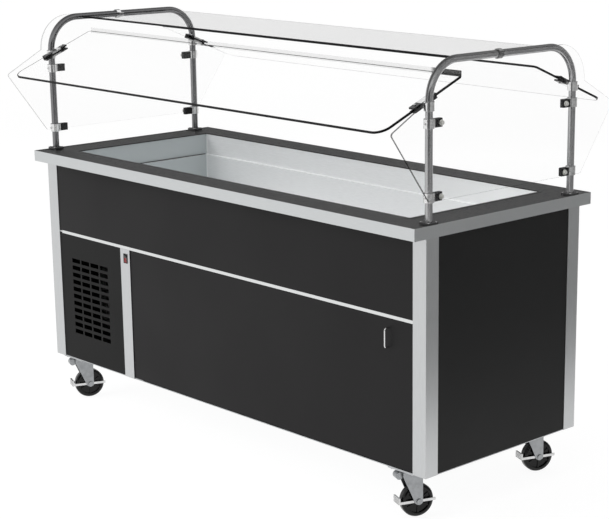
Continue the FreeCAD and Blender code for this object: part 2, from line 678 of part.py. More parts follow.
def make_well():
    """Sheets welded at their edges: a floor, walls round it, a ledge, and walls up to the deck."""
    drain_x, drain_y = DRAIN
    hole = rod("liner_drain_hole", "z", (drain_x, drain_y, UNDER_WELL), "liner_sheet",
               "pipe_radius + hole_play")
    floor = round_block("liner_floor_blank", LOWER_LENGTH, LOWER_DEPTH, "well_corner", UNDER_WELL,
                        WELL_FLOOR)
    opening = ("opening_length", "opening_depth", "opening_corner")
    lower = (LOWER_LENGTH, LOWER_DEPTH, "well_corner")
    under_ledge = f"{LEDGE} - liner_sheet"
    opening_outside = ("opening_length + 2 * liner_sheet", "opening_depth + 2 * liner_sheet",
                       "opening_corner + liner_sheet")
    lower_outside = (f"{LOWER_LENGTH} + 2 * liner_sheet", f"{LOWER_DEPTH} + 2 * liner_sheet",
                     "well_corner + liner_sheet")
    rings = (("upper", opening_outside, opening, (under_ledge, UNDER_DECK)),
             ("ledge", opening, lower, (under_ledge, LEDGE)),
             ("lower", lower_outside, lower, (UNDER_WELL, under_ledge)))
    sheets = [cut("liner_floor", floor, hole)]
    for name, outside, inside, z in rings:
        ring = cut(f"liner_{name}", round_block(f"liner_{name}_outside", *outside, *z),
                   round_block(f"liner_{name}_inside", *inside, *z))
        end, face = f"(({outside[0]}) / 2)", f"(({outside[1]}) / 2)"
        bend_x, bend_y = f"({inside[0]} / 2 - {inside[2]})", f"({inside[1]} / 2 - {inside[2]})"
        across = ((f"-{end}", f"-{bend_x}"), (f"-{bend_x}", bend_x), (bend_x, end))
        along = ((f"-{face}", f"-{bend_y}"), (f"-{bend_y}", bend_y), (bend_y, face))
        for column, x in enumerate(across):
            for row, y in enumerate(along):
                if column == row == 1:
                    continue
                part = f"liner_{name}_{column}_{row}"
                sheets.append(common(part, ring, box(part + "_reach", x, y, z)))
    keep(together("well_liner", *sheets))


def make_insulation():
    """Foam boards: two courses round the well, strips round the coil's space, and a board below."""
    drain_x, drain_y = DRAIN
    end = "(opening_length / 2 + liner_sheet + wall_foam)"
    face = "(opening_depth / 2 + liner_sheet + wall_foam)"
    courses = (("upper", "opening_length", "opening_depth", (f"{LEDGE} - liner_sheet", UNDER_DECK)),
               ("lower", LOWER_LENGTH, LOWER_DEPTH, (UNDER_WELL, f"{LEDGE} - liner_sheet")))
    boards = []
    for course, length, depth, z in courses:
        inner_end, inner_face = f"({length} / 2 + liner_sheet)", f"({depth} / 2 + liner_sheet)"
        span = (f"-{inner_face}", inner_face)
        boards += [box(f"foam_{course}_front", (f"-{end}", end), (f"-{face}", f"-{inner_face}"), z),
                   box(f"foam_{course}_back", (f"-{end}", end), (inner_face, face), z),
                   box(f"foam_{course}_left", (f"-{end}", f"-{inner_end}"), span, z),
                   box(f"foam_{course}_right", (inner_end, end), span, z)]
    pocket_low = f"{UNDER_WELL} - coil_pocket"
    under = box("foam_under_blank", (f"-{end}", end), (f"-{face}", face), (UNDER_FOAM, pocket_low))
    pocket_end = f"({LOWER_LENGTH} / 2 - coil_margin)"
    pocket_face = f"({LOWER_DEPTH} / 2 - coil_margin)"
    z, span = (pocket_low, UNDER_WELL), (f"-{pocket_face}", pocket_face)
    boards += [box("foam_pocket_front", (f"-{end}", end), (f"-{face}", f"-{pocket_face}"), z),
               box("foam_pocket_back", (f"-{end}", end), (pocket_face, face), z),
               box("foam_pocket_left", (f"-{end}", f"-{pocket_end}"), span, z),
               box("foam_pocket_right", (pocket_end, end), span, z)]
    drain = rod("foam_drain_hole", "z", (drain_x, drain_y, UNDER_FOAM), "floor_foam", "drain_nut + hole_play")
    tail = "(coil_tube + hole_play)"
    tail_x = (f"{MACHINE_X} - {tail}", f"{MACHINE_X} + coil_pitch / 2 + {tail}")
    tails = []
    for row in (-1, 1):
        y = f"({row}) * {COIL_FACE}"
        tails.append(box(f"foam_tail_{row}", tail_x, (f"{y} - {tail}", f"{y} + {tail}"),
                         (UNDER_FOAM, UNDER_WELL)))
    keep(together("well_insulation", *boards, cut("foam_under", under, drain, *tails)))


# ---------------------------------------------------------------------------------------------
# Cabinet
# ---------------------------------------------------------------------------------------------
def make_corner_posts():
    x = (POST_EDGE, BODY_END)
    y = (f"-{BODY_FACE}", f"-{BODY_FACE} + post_side")
    z = ("floor_clearance", UNDER_DECK)
    blank = box("post_blank", x, y, z)
    inside = box("post_inside", (POST_EDGE, PANEL_END), (f"-{PANEL_FACE}", y[1]), z)
    right_front = keep(cut("corner_post_fr", blank, inside))
    keep(mirrored("corner_post_fl", right_front, ACROSS_LENGTH))
    right_back = keep(mirrored("corner_post_br", right_front, ACROSS_DEPTH))
    keep(mirrored("corner_post_bl", right_back, ACROSS_LENGTH))


def make_base_pan():
    drain_x, drain_y = DRAIN
    floor = box("base_floor", (f"-{PANEL_END}", PANEL_END), (f"-{PANEL_FACE}", PANEL_FACE),
                ("floor_clearance", BASE_TOP))
    end, face = f"({PANEL_END} - lip_inset)", f"({PANEL_FACE} - lip_inset)"
    inner_end, inner_face = f"({end} - base_sheet)", f"({face} - base_sheet)"
    z = (BASE_TOP, f"{BASE_TOP} + base_lip")
    lip = cut("base_lip_ring", box("base_lip_blank", (f"-{end}", end), (f"-{face}", face), z),
              box("base_lip_inside", (f"-{inner_end}", inner_end), (f"-{inner_face}", inner_face), z))
    hole = rod("base_drain_hole", "z", (drain_x, drain_y, "floor_clearance"), "base_sheet",
               "pipe_radius + hole_play")
    keep(cut("base_pan", fuse("base_blank", floor, lip), hole))


def make_panels():
    front = (f"-{PANEL_FACE}", f"-{PANEL_BACK}")
    back = (PANEL_BACK, PANEL_FACE)
    full = (BASE_TOP, UNDER_DECK)
    keep(folded_sheet("upper_panel", (f"-{PANEL_EDGE}", PANEL_EDGE), front, (WEB_TOP, UNDER_DECK),
              "panel_sheet", "+y"))
    side_edge = f"({BODY_FACE} - post_side + panel_tuck)"
    right = keep(tray("end_panel_right", (f"{PANEL_END} - panel_fold", PANEL_END),
                      (f"-{side_edge}", side_edge), full, "panel_sheet", "-x"))
    keep(mirrored("end_panel_left", right, ACROSS_LENGTH))
    rear = folded_sheet("back_pan", (f"-{PANEL_EDGE}", PANEL_EDGE), back, full, "panel_sheet", "-y")
    knob_hole = rod("back_knob_hole", "y", (MACHINE_X, f"{PANEL_FACE} - panel_sheet", "control_height"),
                    "panel_sheet", "knob_shaft + hole_play")
    keep(cut("back_panel", rear, knob_hole, inlet_housing("back_inlet_hole")))


def make_vent_panel():
    slots = []
    for column in range(count("grille_columns")):
        left = f"({GRILLE_LEFT} + {column} * (slot_width + slot_gap))"
        for row in range(count("grille_rows")):
            low = f"(grille_bottom + {row} * slot_pitch)"
            slots.append(box(f"slot_{column}_{row}", (left, f"{left} + slot_width"),
                             (f"-{PANEL_FACE}", f"-{PANEL_FACE} + panel_sheet"),
                             (low, f"{low} + slot_height")))
    keep(folded_sheet("vent_panel", (f"-{PANEL_EDGE}", STRIP_LEFT), (f"-{PANEL_FACE}", f"-{PANEL_BACK}"),
                      (BASE_TOP, WEB_BOTTOM), "panel_sheet", "+y", *slots))


def make_divider_strip():
    x = (STRIP_LEFT, STRIP_RIGHT)
    front = (f"-{BODY_FACE}", f"-{PANEL_FACE}")
    fold = (f"-{PANEL_FACE}", f"-{PANEL_FACE} + strip_fold")
    face = box("strip_face", x, front, ("floor_clearance", "trim_bottom"))
    z = (BASE_TOP, "trim_bottom")
    left = box("strip_left_fold", (STRIP_LEFT, f"{STRIP_LEFT} + post_sheet"), fold, z)
    right = box("strip_right_fold", (f"{STRIP_RIGHT} - post_sheet", STRIP_RIGHT), fold, z)
    blank = fuse("strip_blank", face, left, right)
    keep(cut("divider_strip", blank, switch_block("strip_window", "housing_wall - hole_play", *front)))


def make_trim_rail():
    face = box("trim_face", (f"-{POST_EDGE} + trim_start", POST_EDGE),
               (f"-{PANEL_FACE} - trim_proud", f"-{PANEL_FACE}"),
               ("trim_bottom", "trim_bottom + trim_height"))
    web = box("trim_web_bar", (f"-{PANEL_EDGE}", PANEL_EDGE), (f"-{PANEL_FACE}", WEB_BACK),
              (WEB_BOTTOM, WEB_TOP))
    keep(fuse("trim_rail", face, web))


# ---------------------------------------------------------------------------------------------
# Rocker switch
# ---------------------------------------------------------------------------------------------
SWITCH_X = f"({STRIP_LEFT} + switch_inset)"
SWITCH_AXIS_Y = f"(-{BODY_FACE} + rocker_setback)"


def switch_block(label, inset, low_y, high_y):
    """A block round the switch's centre, as much smaller than the bezel as the inset says."""
    half_width, half_height = f"(bezel_width / 2 - ({inset}))", f"(bezel_tall / 2 - ({inset}))"
    return box(label, (f"{SWITCH_X} - {half_width}", f"{SWITCH_X} + {half_width}"), (low_y, high_y),
               (f"switch_height - {half_height}", f"switch_height + {half_height}"))


def make_switch():
    front, back = f"-{BODY_FACE} - bezel_proud", f"-{BODY_FACE} + switch_depth"
    rim = switch_block("bezel_rim_block", "0", front, f"-{BODY_FACE}")
    sleeve = switch_block("bezel_sleeve", "housing_wall", f"-{BODY_FACE}", back)
    space = switch_block("bezel_space", "bezel_rim", front, back)
    axle_start = (f"{SWITCH_X} - bezel_width / 2", SWITCH_AXIS_Y, "switch_height")
    axle_hole = rod("bezel_axle_hole", "x", axle_start, "bezel_width", "rocker_axle + running_fit")
    keep(cut("switch_bezel", fuse("bezel_blank", rim, sleeve), space, axle_hole))

    half_width = "(bezel_width / 2 - bezel_rim - rocker_side_gap)"
    half_height = "(bezel_tall / 2 - bezel_rim - rocker_end_gap)"
    profile = [("-rocker_rise", f"-{half_height}"), ("-rocker_rise + rocker_dish", "0"),
               ("-rocker_rise", half_height), ("rocker_depth / 2", half_height), ("rocker_depth", "0"),
               ("rocker_depth / 2", f"-{half_height}")]
    key = plate("rocker_key", "YZ_Plane", profile, f"-{half_width}", half_width)
    axle_half = "(bezel_width / 2 - housing_wall)"
    axle = rod("rocker_axle_bar", "x", (f"-{axle_half}", "0", "0"), f"2 * {axle_half}", "rocker_axle")
    rocker = turn(fuse("switch_rocker", key, axle), (1, 0, 0), "rocker_tilt")
    keep(move(rocker, SWITCH_X, SWITCH_AXIS_Y, "switch_height"))


# ---------------------------------------------------------------------------------------------
# Storage side
# ---------------------------------------------------------------------------------------------
DOOR_LEFT = f"({STRIP_RIGHT} + door_gap)"
DOOR_RIGHT = f"({POST_EDGE} - door_gap)"
DOOR_BOTTOM = f"({BASE_TOP} + door_bottom_gap)"
DOOR_TOP = "(trim_bottom - door_top_gap)"
PIVOT_X = f"({DOOR_LEFT} + pivot_inset)"
PIVOT_Y = f"(-{PANEL_FACE} + pivot_setback)"


def make_door():
    pan = tray("door_pan", (DOOR_LEFT, DOOR_RIGHT), (f"-{PANEL_FACE}", f"-{PANEL_BACK}"),
               (DOOR_BOTTOM, DOOR_TOP), "panel_sheet", "+y")
    lower = rod("door_lower_hole", "z", (PIVOT_X, PIVOT_Y, DOOR_BOTTOM), "panel_sheet", "bush_radius")
    upper = rod("door_upper_hole", "z", (PIVOT_X, PIVOT_Y, f"{DOOR_TOP} - panel_sheet"), "panel_sheet",
                "bush_radius")
    keep(cut("door", pan, lower, upper))


def make_pivots():
    """Plates with a pin under and over the door, and the bushes that turn on the pins."""
    x = (f"{PIVOT_X} - pivot_inset", f"{PIVOT_X} - pivot_inset + pivot_plate_length")
    y = (f"{PIVOT_Y} - pivot_setback", f"{PIVOT_Y} - pivot_setback + pivot_plate_depth")
    plate_top = f"({BASE_TOP} + pivot_plate)"
    plate_low = f"({WEB_BOTTOM} - pivot_plate)"
    lower = fuse("lower_pivot", box("lower_pivot_plate", x, y, (BASE_TOP, plate_top)),
                 rod("lower_pivot_pin", "z", (PIVOT_X, PIVOT_Y, BASE_TOP),
                     "pivot_plate + pivot_length", "pivot_pin"))
    upper = fuse("upper_pivot", box("upper_pivot_plate", x, y, (plate_low, WEB_BOTTOM)),
                 rod("upper_pivot_pin", "z", (PIVOT_X, PIVOT_Y, f"{plate_low} - pivot_length"),
                     "pivot_plate + pivot_length", "pivot_pin"))
    keep(together("door_pivots", lower, upper))
    bushes = []
    for name, start in (("lower_bush", f"{plate_top} + running_gap"),
                        ("upper_bush", f"{plate_low} - running_gap - bush_length")):
        at = (PIVOT_X, PIVOT_Y, start)
        bushes.append(cut(name, rod(name + "_blank", "z", at, "bush_length", "bush_radius"),
                          rod(name + "_bore", "z", at, "bush_length", "pivot_pin + running_fit")))
    keep(together("door_bushes", *bushes))


def make_door_handle():
    x = f"({POST_EDGE} - pull_inset)"
    face, reach = f"(-{PANEL_FACE})", f"(-{PANEL_FACE} - pull_reach)"
    top = "(pull_bottom + pull_span)"
    points = [(x, face, "pull_bottom"), (x, reach, "pull_bottom"), (x, reach, top), (x, face, top)]
    keep(bar_path("door_handle", points, "pull_wire", "pull_bend"))


def make_catch():
    right = f"({DOOR_RIGHT} - catch_inset)"
    front = f"(-{PANEL_BACK} + running_gap)"
    keep(box("door_catch", (f"{right} - catch_length", right), (front, f"{front} + catch_depth"),
             (f"{WEB_BOTTOM} - catch_height", WEB_BOTTOM)))


def make_bay_wall():
    """A sheet between the machine bay and the storage side, notched over the base pan's upstand."""
    x = (f"{BAY_WALL} - panel_sheet / 2", f"{BAY_WALL} + panel_sheet / 2")
    lip = f"({PANEL_FACE} - lip_inset)"
    upright = box("bay_wall_sheet", x, (f"-{lip} + base_sheet", f"{lip} - base_sheet"),
                  (BASE_TOP, UNDER_FOAM))
    front = box("bay_wall_front", x, (f"-{PANEL_FACE}", f"-{lip} + base_sheet"),
                (f"{BASE_TOP} + base_lip", WEB_BOTTOM))
    keep(fuse("bay_wall", upright, front))


def make_shelf():
    x = (f"{BAY_WALL} + panel_sheet / 2", f"{PANEL_END} - panel_fold")
    y = (f"-{PANEL_FACE} + shelf_setback", PANEL_BACK)
    keep(tray("storage_shelf", x, y, ("shelf_height - shelf_fold", "shelf_height"), "panel_sheet", "-z"))


# ---------------------------------------------------------------------------------------------
# Machinery
# ---------------------------------------------------------------------------------------------
DRAIN = (f"({BAY_WALL} - drain_side)", "drain_back")
COIL_FACE = "((coil_runs - 1) * coil_pitch / 2)"
COIL_Z = f"({UNDER_WELL} - solder_gap - coil_tube)"
CONDENSER_MIDDLE = f"(-{COIL_FACE})"
CONDENSER_FRONT = f"({CONDENSER_MIDDLE} - condenser_depth / 2)"
CONDENSER_BACK = f"({CONDENSER_MIDDLE} + condenser_depth / 2)"
HEADER_Z = GRILLE_TOP
RISER_TOP = f"({HEADER_Z} + stub_radius + riser_height)"
COMPRESSOR_TOP = f"({BASE_TOP} + compressor_foot + compressor_height)"
SUCTION_TOP = f"({COMPRESSOR_TOP} + stub_height)"
FAN_Z = f"((grille_bottom + {GRILLE_TOP}) / 2)"


def make_coil():
    """One tube: up from the compressor, to and fro under the well, and down to the condenser."""
    near, far = MACHINE_X, f"({LOWER_LENGTH} / 2 - coil_end)"
    turn_x = f"(-{LOWER_LENGTH} / 2 + coil_end)"
    runs = count("coil_runs")
    points = [(near, COIL_FACE, SUCTION_TOP), (near, COIL_FACE, COIL_Z)]
    for run in range(runs):
        y = f"({COIL_FACE} - {run} * coil_pitch)"
        ends = (turn_x, far) if run % 2 == 0 else (far, turn_x)
        if run > 0:
            points.append((ends[0], y, COIL_Z))
        points.append((near if run == runs - 1 else ends[1], y, COIL_Z))
    points.append((near, f"-{COIL_FACE}", RISER_TOP))
    keep(bar_path("cooling_coil", points, "coil_tube", "coil_pitch / 2"))


def make_compressor():
    shell = turned("compressor_shell", [
        ("0", "0"), ("compressor_crown", "0"), ("compressor_radius", "compressor_shoulder"),
        ("compressor_radius", "compressor_height - compressor_shoulder"),
        ("compressor_crown", "compressor_height - compressor_dome"), ("0", "compressor_height")])
    move(shell, MACHINE_X, "compressor_back", f"{BASE_TOP} + compressor_foot")
    half = "(compressor_radius + compressor_flange)"
    foot = box("compressor_base", (f"{MACHINE_X} - {half}", f"{MACHINE_X} + {half}"),
               ("compressor_back - compressor_radius", "compressor_back + compressor_radius"),
               (BASE_TOP, f"{BASE_TOP} + compressor_foot"))
    stub = rod("suction_stub", "z", (MACHINE_X, COIL_FACE, f"{COMPRESSOR_TOP} - stub_root"),
               "stub_root + stub_height", "stub_radius")
    keep(fuse("compressor", shell, foot, stub))


def make_condenser():
    y = (CONDENSER_FRONT, CONDENSER_BACK)
    z = (BASE_TOP, f"{HEADER_Z} + stub_radius + condenser_plate")
    sides = [box("condenser_left", (GRILLE_LEFT, f"{GRILLE_LEFT} + condenser_plate"), y, z),
             box("condenser_right", (f"{GRILLE_RIGHT} - condenser_plate", GRILLE_RIGHT), y, z)]
    fins = []
    for fin in range(1, count("condenser_fins") + 1):
        x = f"({GRILLE_LEFT} + {fin} * {GRILLE_WIDTH} / (condenser_fins + 1))"
        fins.append(box(f"condenser_fin_{fin}", (x, f"{x} + condenser_fin"), y,
                        ("grille_bottom", GRILLE_TOP)))
    tubes = []
    for tube in range(count("condenser_tubes")):
        height = f"(grille_bottom + ({tube} + 0.5) * ({GRILLE_TOP} - grille_bottom) / condenser_tubes)"
        tubes.append(rod(f"condenser_tube_{tube}", "x", (GRILLE_LEFT, CONDENSER_MIDDLE, height),
                         GRILLE_WIDTH, "condenser_tube"))
    header = rod("condenser_header", "x", (GRILLE_LEFT, CONDENSER_MIDDLE, HEADER_Z), GRILLE_WIDTH,
                 "stub_radius")
    riser = rod("condenser_riser", "z", (MACHINE_X, CONDENSER_MIDDLE, HEADER_Z), f"{RISER_TOP} - {HEADER_Z}",
                "riser_radius")
    keep(fuse("condenser", *sides, *fins, *tubes, header, riser))


def make_fan():
    """Shroud with the motor on its struts, and the fan that turns in it."""
    face = (CONDENSER_BACK, f"{CONDENSER_BACK} + condenser_plate")
    sheet_plate = box("shroud_sheet", (GRILLE_LEFT, GRILLE_RIGHT), face, ("grille_bottom", GRILLE_TOP))
    at = (MACHINE_X, CONDENSER_BACK, FAN_Z)
    collar = rod("shroud_collar_bar", "y", at, "shroud_collar", "shroud_radius + condenser_plate")
    mouth = rod("shroud_mouth", "y", at, "shroud_collar", "shroud_radius")
    ring = cut("shroud_ring", fuse("shroud_blank", sheet_plate, collar), mouth)
    strut_y = (f"{CONDENSER_BACK} + shroud_collar - condenser_plate", f"{CONDENSER_BACK} + shroud_collar")
    reach = "(shroud_radius + condenser_plate / 2)"
    strut = box("motor_strut", (f"{MACHINE_X} - {reach}", f"{MACHINE_X} + {reach}"), strut_y,
                (f"{FAN_Z} - strut_width / 2", f"{FAN_Z} + strut_width / 2"))
    cross = box("motor_cross", (f"{MACHINE_X} - strut_width / 2", f"{MACHINE_X} + strut_width / 2"), strut_y,
                (f"{FAN_Z} - {reach}", f"{FAN_Z} + {reach}"))
    motor = rod("fan_motor", "y", (MACHINE_X, strut_y[1], FAN_Z), "motor_length", "motor_radius")
    bore = rod("fan_motor_bore", "y", (MACHINE_X, strut_y[0], FAN_Z),
               "condenser_plate + shaft_depth + running_gap", "fan_shaft + running_fit")
    keep(cut("fan_shroud", fuse("shroud_and_motor", ring, strut, cross, motor), bore))

    blades = []
    total = count("fan_blades_count")
    for index in range(total):
        blade = box(f"fan_blade_{index}", ("0", "fan_radius"), ("-blade_width / 2", "blade_width / 2"),
                    ("-blade_sheet / 2", "blade_sheet / 2"))
        pitched = turn(together(f"fan_blade_pitched_{index}", blade), (1, 0, 0), "90 - blade_pitch")
        spread = turn(together(f"fan_blade_turned_{index}", pitched), (0, 1, 0), f"{index} * 360 / {total}")
        blades.append(spread)
    trimmed = common("fan_blades_trimmed", fuse("fan_blades_all", *blades),
                     rod("fan_disc", "y", ("0", "-hub_length", "0"), "2 * hub_length", "fan_radius"))
    hub = rod("fan_hub_bar", "y", ("0", "-hub_length / 2", "0"), "hub_length", "fan_hub")
    shaft = rod("fan_shaft_bar", "y", ("0", "0", "0"), "shroud_collar / 2 + shaft_depth", "fan_shaft")
    fan = fuse("fan_blades", trimmed, hub, shaft)
    keep(move(fan, MACHINE_X, f"{CONDENSER_BACK} + shroud_collar / 2", FAN_Z))


def make_drain():
    """Strainer flange, nut, pipe, valve body and outlet in one turned piece, with the valve's bonnet."""
    drain_x, drain_y = DRAIN
    flange_top = f"({WELL_FLOOR} + strainer_sheet)"
    nut_low = f"({UNDER_WELL} - nut_height)"
    valve_top, valve_low = "(valve_height + valve_radius)", "(valve_height - valve_radius)"
    lead = "(valve_radius - pipe_radius)"
    outline = [
        ("pipe_bore", "outlet_height"), ("pipe_radius", "outlet_height"), ("pipe_radius", valve_low),
        ("valve_radius", f"{valve_low} + {lead}"), ("valve_radius", f"{valve_top} - {lead}"),
        ("pipe_radius", valve_top), ("pipe_radius", nut_low), ("drain_nut", nut_low),
        ("drain_nut", UNDER_WELL), ("pipe_radius", UNDER_WELL), ("pipe_radius", WELL_FLOOR),
        ("strainer_radius", WELL_FLOOR), ("strainer_radius", f"{flange_top} - strainer_sheet / 2"),
        ("strainer_radius - strainer_sheet", flange_top), ("pipe_bore", flange_top)]
    column = turned("drain_column", outline)
    move(column, drain_x, drain_y, "0")
    root = "(pipe_bore + valve_radius) / 2"
    bonnet = rod("valve_bonnet", "y", (drain_x, f"{drain_y} + {root}", "valve_height"),
                 f"bonnet_reach - {root}", "bonnet_radius")
    seat_length = "(stem_depth + running_gap)"
    seat = rod("stem_seat", "y", (drain_x, f"{drain_y} + bonnet_reach - {seat_length}", "valve_height"),
               seat_length, "stem_radius + running_fit")
    keep(cut("drain_fitting", fuse("drain_blank", column, bonnet), seat))

    stem = rod("lever_stem", "y", ("0", f"-{seat_length}", "0"), f"{seat_length} + lever_sheet",
               "stem_radius")
    half = "(lever_width / 2)"
    outline = [(f"-{half}", f"-{half}", "lever_corner"), ("lever_length", f"-{half}", "lever_corner"),
               ("lever_length", half, "lever_corner"), (f"-{half}", half, "lever_corner")]
    arm = plate("lever_arm", "XZ_Plane", outline, "0", "lever_sheet")
    lever = fuse("drain_lever", stem, arm)
    keep(move(lever, drain_x, f"{drain_y} + bonnet_reach + running_gap", "valve_height"))


# ---------------------------------------------------------------------------------------------
# Controls at the back
# ---------------------------------------------------------------------------------------------
INLET_X = f"({MACHINE_X} - inlet_side)"


def inlet_block(label, inset, low_y, high_y):
    half_width, half_height = f"(inlet_width / 2 - ({inset}))", f"(inlet_tall / 2 - ({inset}))"
    return box(label, (f"{INLET_X} - {half_width}", f"{INLET_X} + {half_width}"), (low_y, high_y),
               (f"inlet_height - {half_height}", f"inlet_height + {half_height}"))


def inlet_housing(label):
    return inlet_block(label, "inlet_margin", f"{PANEL_FACE} - inlet_depth", PANEL_FACE)


def make_controls():
    face_inside = f"({PANEL_FACE} - panel_sheet)"
    x = (f"{MACHINE_X} - thermostat_width / 2", f"{MACHINE_X} + thermostat_width / 2")
    z = ("control_height - thermostat_tall / 2", "control_height + thermostat_tall / 2")
    case = box("thermostat_case", x, (f"{face_inside} - thermostat_depth", face_inside), z)
    reach = "(knob_shaft_length + running_gap)"
    bore = rod("thermostat_bore", "y", (MACHINE_X, f"{PANEL_FACE} - {reach}", "control_height"), reach,
               "knob_shaft + running_fit")
    keep(cut("thermostat", case, bore))

    knob = turned("thermostat_knob", [
        ("0", f"-{reach}"), ("knob_shaft", f"-{reach}"), ("knob_shaft", "0"), ("knob_radius", "0"),
        ("knob_radius", "knob_skirt"), ("knob_grip", "knob_skirt"), ("knob_grip", "knob_depth - knob_bevel"),
        ("knob_grip - knob_bevel", "knob_depth"), ("0", "knob_depth")])
    knob.Placement = FreeCAD.Placement(FreeCAD.Vector(), AIM["y"])
    keep(move(knob, MACHINE_X, f"{PANEL_FACE} + running_gap", "control_height"))

    rim = inlet_block("inlet_rim", "0", PANEL_FACE, f"{PANEL_FACE} + inlet_flange")
    floor_y = f"({PANEL_FACE} - inlet_depth + inlet_wall)"
    recess = inlet_block("inlet_recess", "inlet_margin + inlet_wall", floor_y, f"{PANEL_FACE} + inlet_flange")
    shell = cut("inlet_shell", fuse("inlet_blank", rim, inlet_housing("inlet_case")), recess)
    blades = []
    for index, side in enumerate((-1, 0, 1)):
        x = f"({INLET_X} + ({side}) * blade_spacing)"
        blades.append(box(f"inlet_blade_{index}", (f"{x} - blade_thick / 2", f"{x} + blade_thick / 2"),
                          (floor_y, f"{floor_y} + blade_long"),
                          ("inlet_height - blade_tall / 2", "inlet_height + blade_tall / 2")))
    keep(fuse("power_inlet", shell, *blades))


# ---------------------------------------------------------------------------------------------
# Arches, clamps and guards
# ---------------------------------------------------------------------------------------------
def arch_bar(label, radius):
    points = [(ARCH_X, f"-{POST_Y}", "counter_height"), (ARCH_X, f"-{POST_Y}", "arch_height"),
              (ARCH_X, POST_Y, "arch_height"), (ARCH_X, POST_Y, "counter_height")]
    return bar_path(label, points, radius, "arch_bend")


def make_arches():
    tube = cut("arch_tube", arch_bar("arch_outside", "tube_radius"),
               arch_bar("arch_inside", "tube_radius - tube_wall"))
    x = (f"{ARCH_X} - tube_radius", f"{ARCH_X} + tube_radius")
    spring, crown = "(arch_height - arch_bend)", "arch_height + tube_radius"
    outer, inner = f"({POST_Y} + tube_radius)", f"({POST_Y} - arch_bend)"
    front, middle, back = (f"-{outer}", f"-{inner}"), (f"-{inner}", inner), (inner, outer)
    low, high = ("counter_height", spring), (spring, crown)
    reaches = (("front_post", front, low), ("front_bend", front, high), ("crown", middle, high),
               ("back_bend", back, high), ("back_post", back, low))
    lengths = [common("arch_" + name, tube, box(f"arch_{name}_reach", x, y, z)) for name, y, z in reaches]
    right = keep(together("arch_right", *lengths))
    keep(mirrored("arch_left", right, ACROSS_LENGTH))


def post_bore(label, low, high):
    """The space that a clamp or flange leaves for the right front post."""
    return rod(label, "z", (ARCH_X, f"-{POST_Y}", low), f"({high}) - ({low})", "tube_radius + running_fit")


def make_flanges():
    half = "(flange_size / 2)"
    low, high = "counter_height", "(counter_height + flange_height)"
    x = (f"{ARCH_X} - {half}", f"{ARCH_X} + {half}")
    y = (f"-{POST_Y} - {half}", f"-{POST_Y} + {half}")
    corners = [(side, front, "flange_corner") for side, front in
               ((x[0], y[0]), (x[1], y[0]), (x[1], y[1]), (x[0], y[1]))]
    foot = plate("flange_blank", "XY_Plane", corners, low, high)
    holes = flange_screw_holes("flange_holes", "screw_shank + hole_play", low, high)
    flange = cut("flange_right_front", foot, post_bore("flange_bore", low, high), holes)
    keep(at_four_corners("arch_flanges", flange))
    shanks = flange_screw_holes("screw_shanks", "screw_shank", UNDER_DECK, high)
    heads = flange_screw_holes("screw_heads", "screw_head", high, f"{high} + screw_head_height")
    screws = fuse("screws_right_front", shanks, heads)
    keep(at_four_corners("flange_screws", screws))


def end_clamp(label, height):
    """A ring on the right front post with a jaw towards the arch's middle."""
    low, high = f"({height} - clamp_height / 2)", f"({height} + clamp_height / 2)"
    ring = rod(label + "_ring", "z", (ARCH_X, f"-{POST_Y}", low), "clamp_height", "clamp_ring")
    side = "(jaw_width / 2)"
    left, right = f"{ARCH_X} - {side}", f"{ARCH_X} + {side}"
    root, tip = f"-{POST_Y} + tube_radius / 2", f"-{POST_Y} + jaw_reach"
    jaw = plate(label + "_jaw", "XY_Plane",
                [(left, root), (right, root), (right, tip, "jaw_corner"), (left, tip, "jaw_corner")],
                f"{height} - jaw_height / 2", f"{height} + jaw_height / 2")
    return cut(label, fuse(label + "_blank", ring, jaw), post_bore(label + "_bore", low, high))


def make_end_clamps():
    lower = end_clamp("lower_end_clamp", "end_clamp_low")
    upper = end_clamp("upper_end_clamp", "end_clamp_high")
    keep(at_four_corners("end_clamps", together("right_front_end_clamps", lower, upper)))


def make_guard_clamps():
    """A ring on the post and a channel, parallel to the sheet, that holds the sheet's end."""
    ring_low = "(arch_height - arch_bend - clamp_height)"
    ring = rod("guard_clamp_ring", "z", (ARCH_X, f"-{POST_Y}", ring_low), "clamp_height", "clamp_ring")
    back = "(tube_radius + guard_jaw_gap)"
    sheet_end = f"({ARCH_X} - guard_length / 2)"
    grip = "(guard_sheet / 2 + running_fit)"
    outer = f"({grip} + guard_jaw_plate)"
    y = ("-guard_jaw_length / 2", "guard_jaw_length / 2")
    channel = box("guard_channel", (f"-{sheet_end} - guard_jaw_cover", f"-{back}"), y, (f"-{outer}", outer))
    slot = box("guard_slot", (f"-{sheet_end} - guard_jaw_cover", f"-{sheet_end} + running_gap"), y,
               (f"-{grip}", grip))
    leaning = turn(cut("guard_jaw", channel, slot), (1, 0, 0), "guard_tilt")
    move(leaning, ARCH_X, f"-{POST_Y}", "guard_height")
    reach = "(clamp_height + guard_jaw_length)"
    bore = post_bore("guard_clamp_bore", f"guard_height - {reach}", f"guard_height + {reach}")
    clamp = cut("guard_clamp", fuse("guard_clamp_blank", ring, leaning), bore)
    keep(at_four_corners("guard_clamps", clamp))


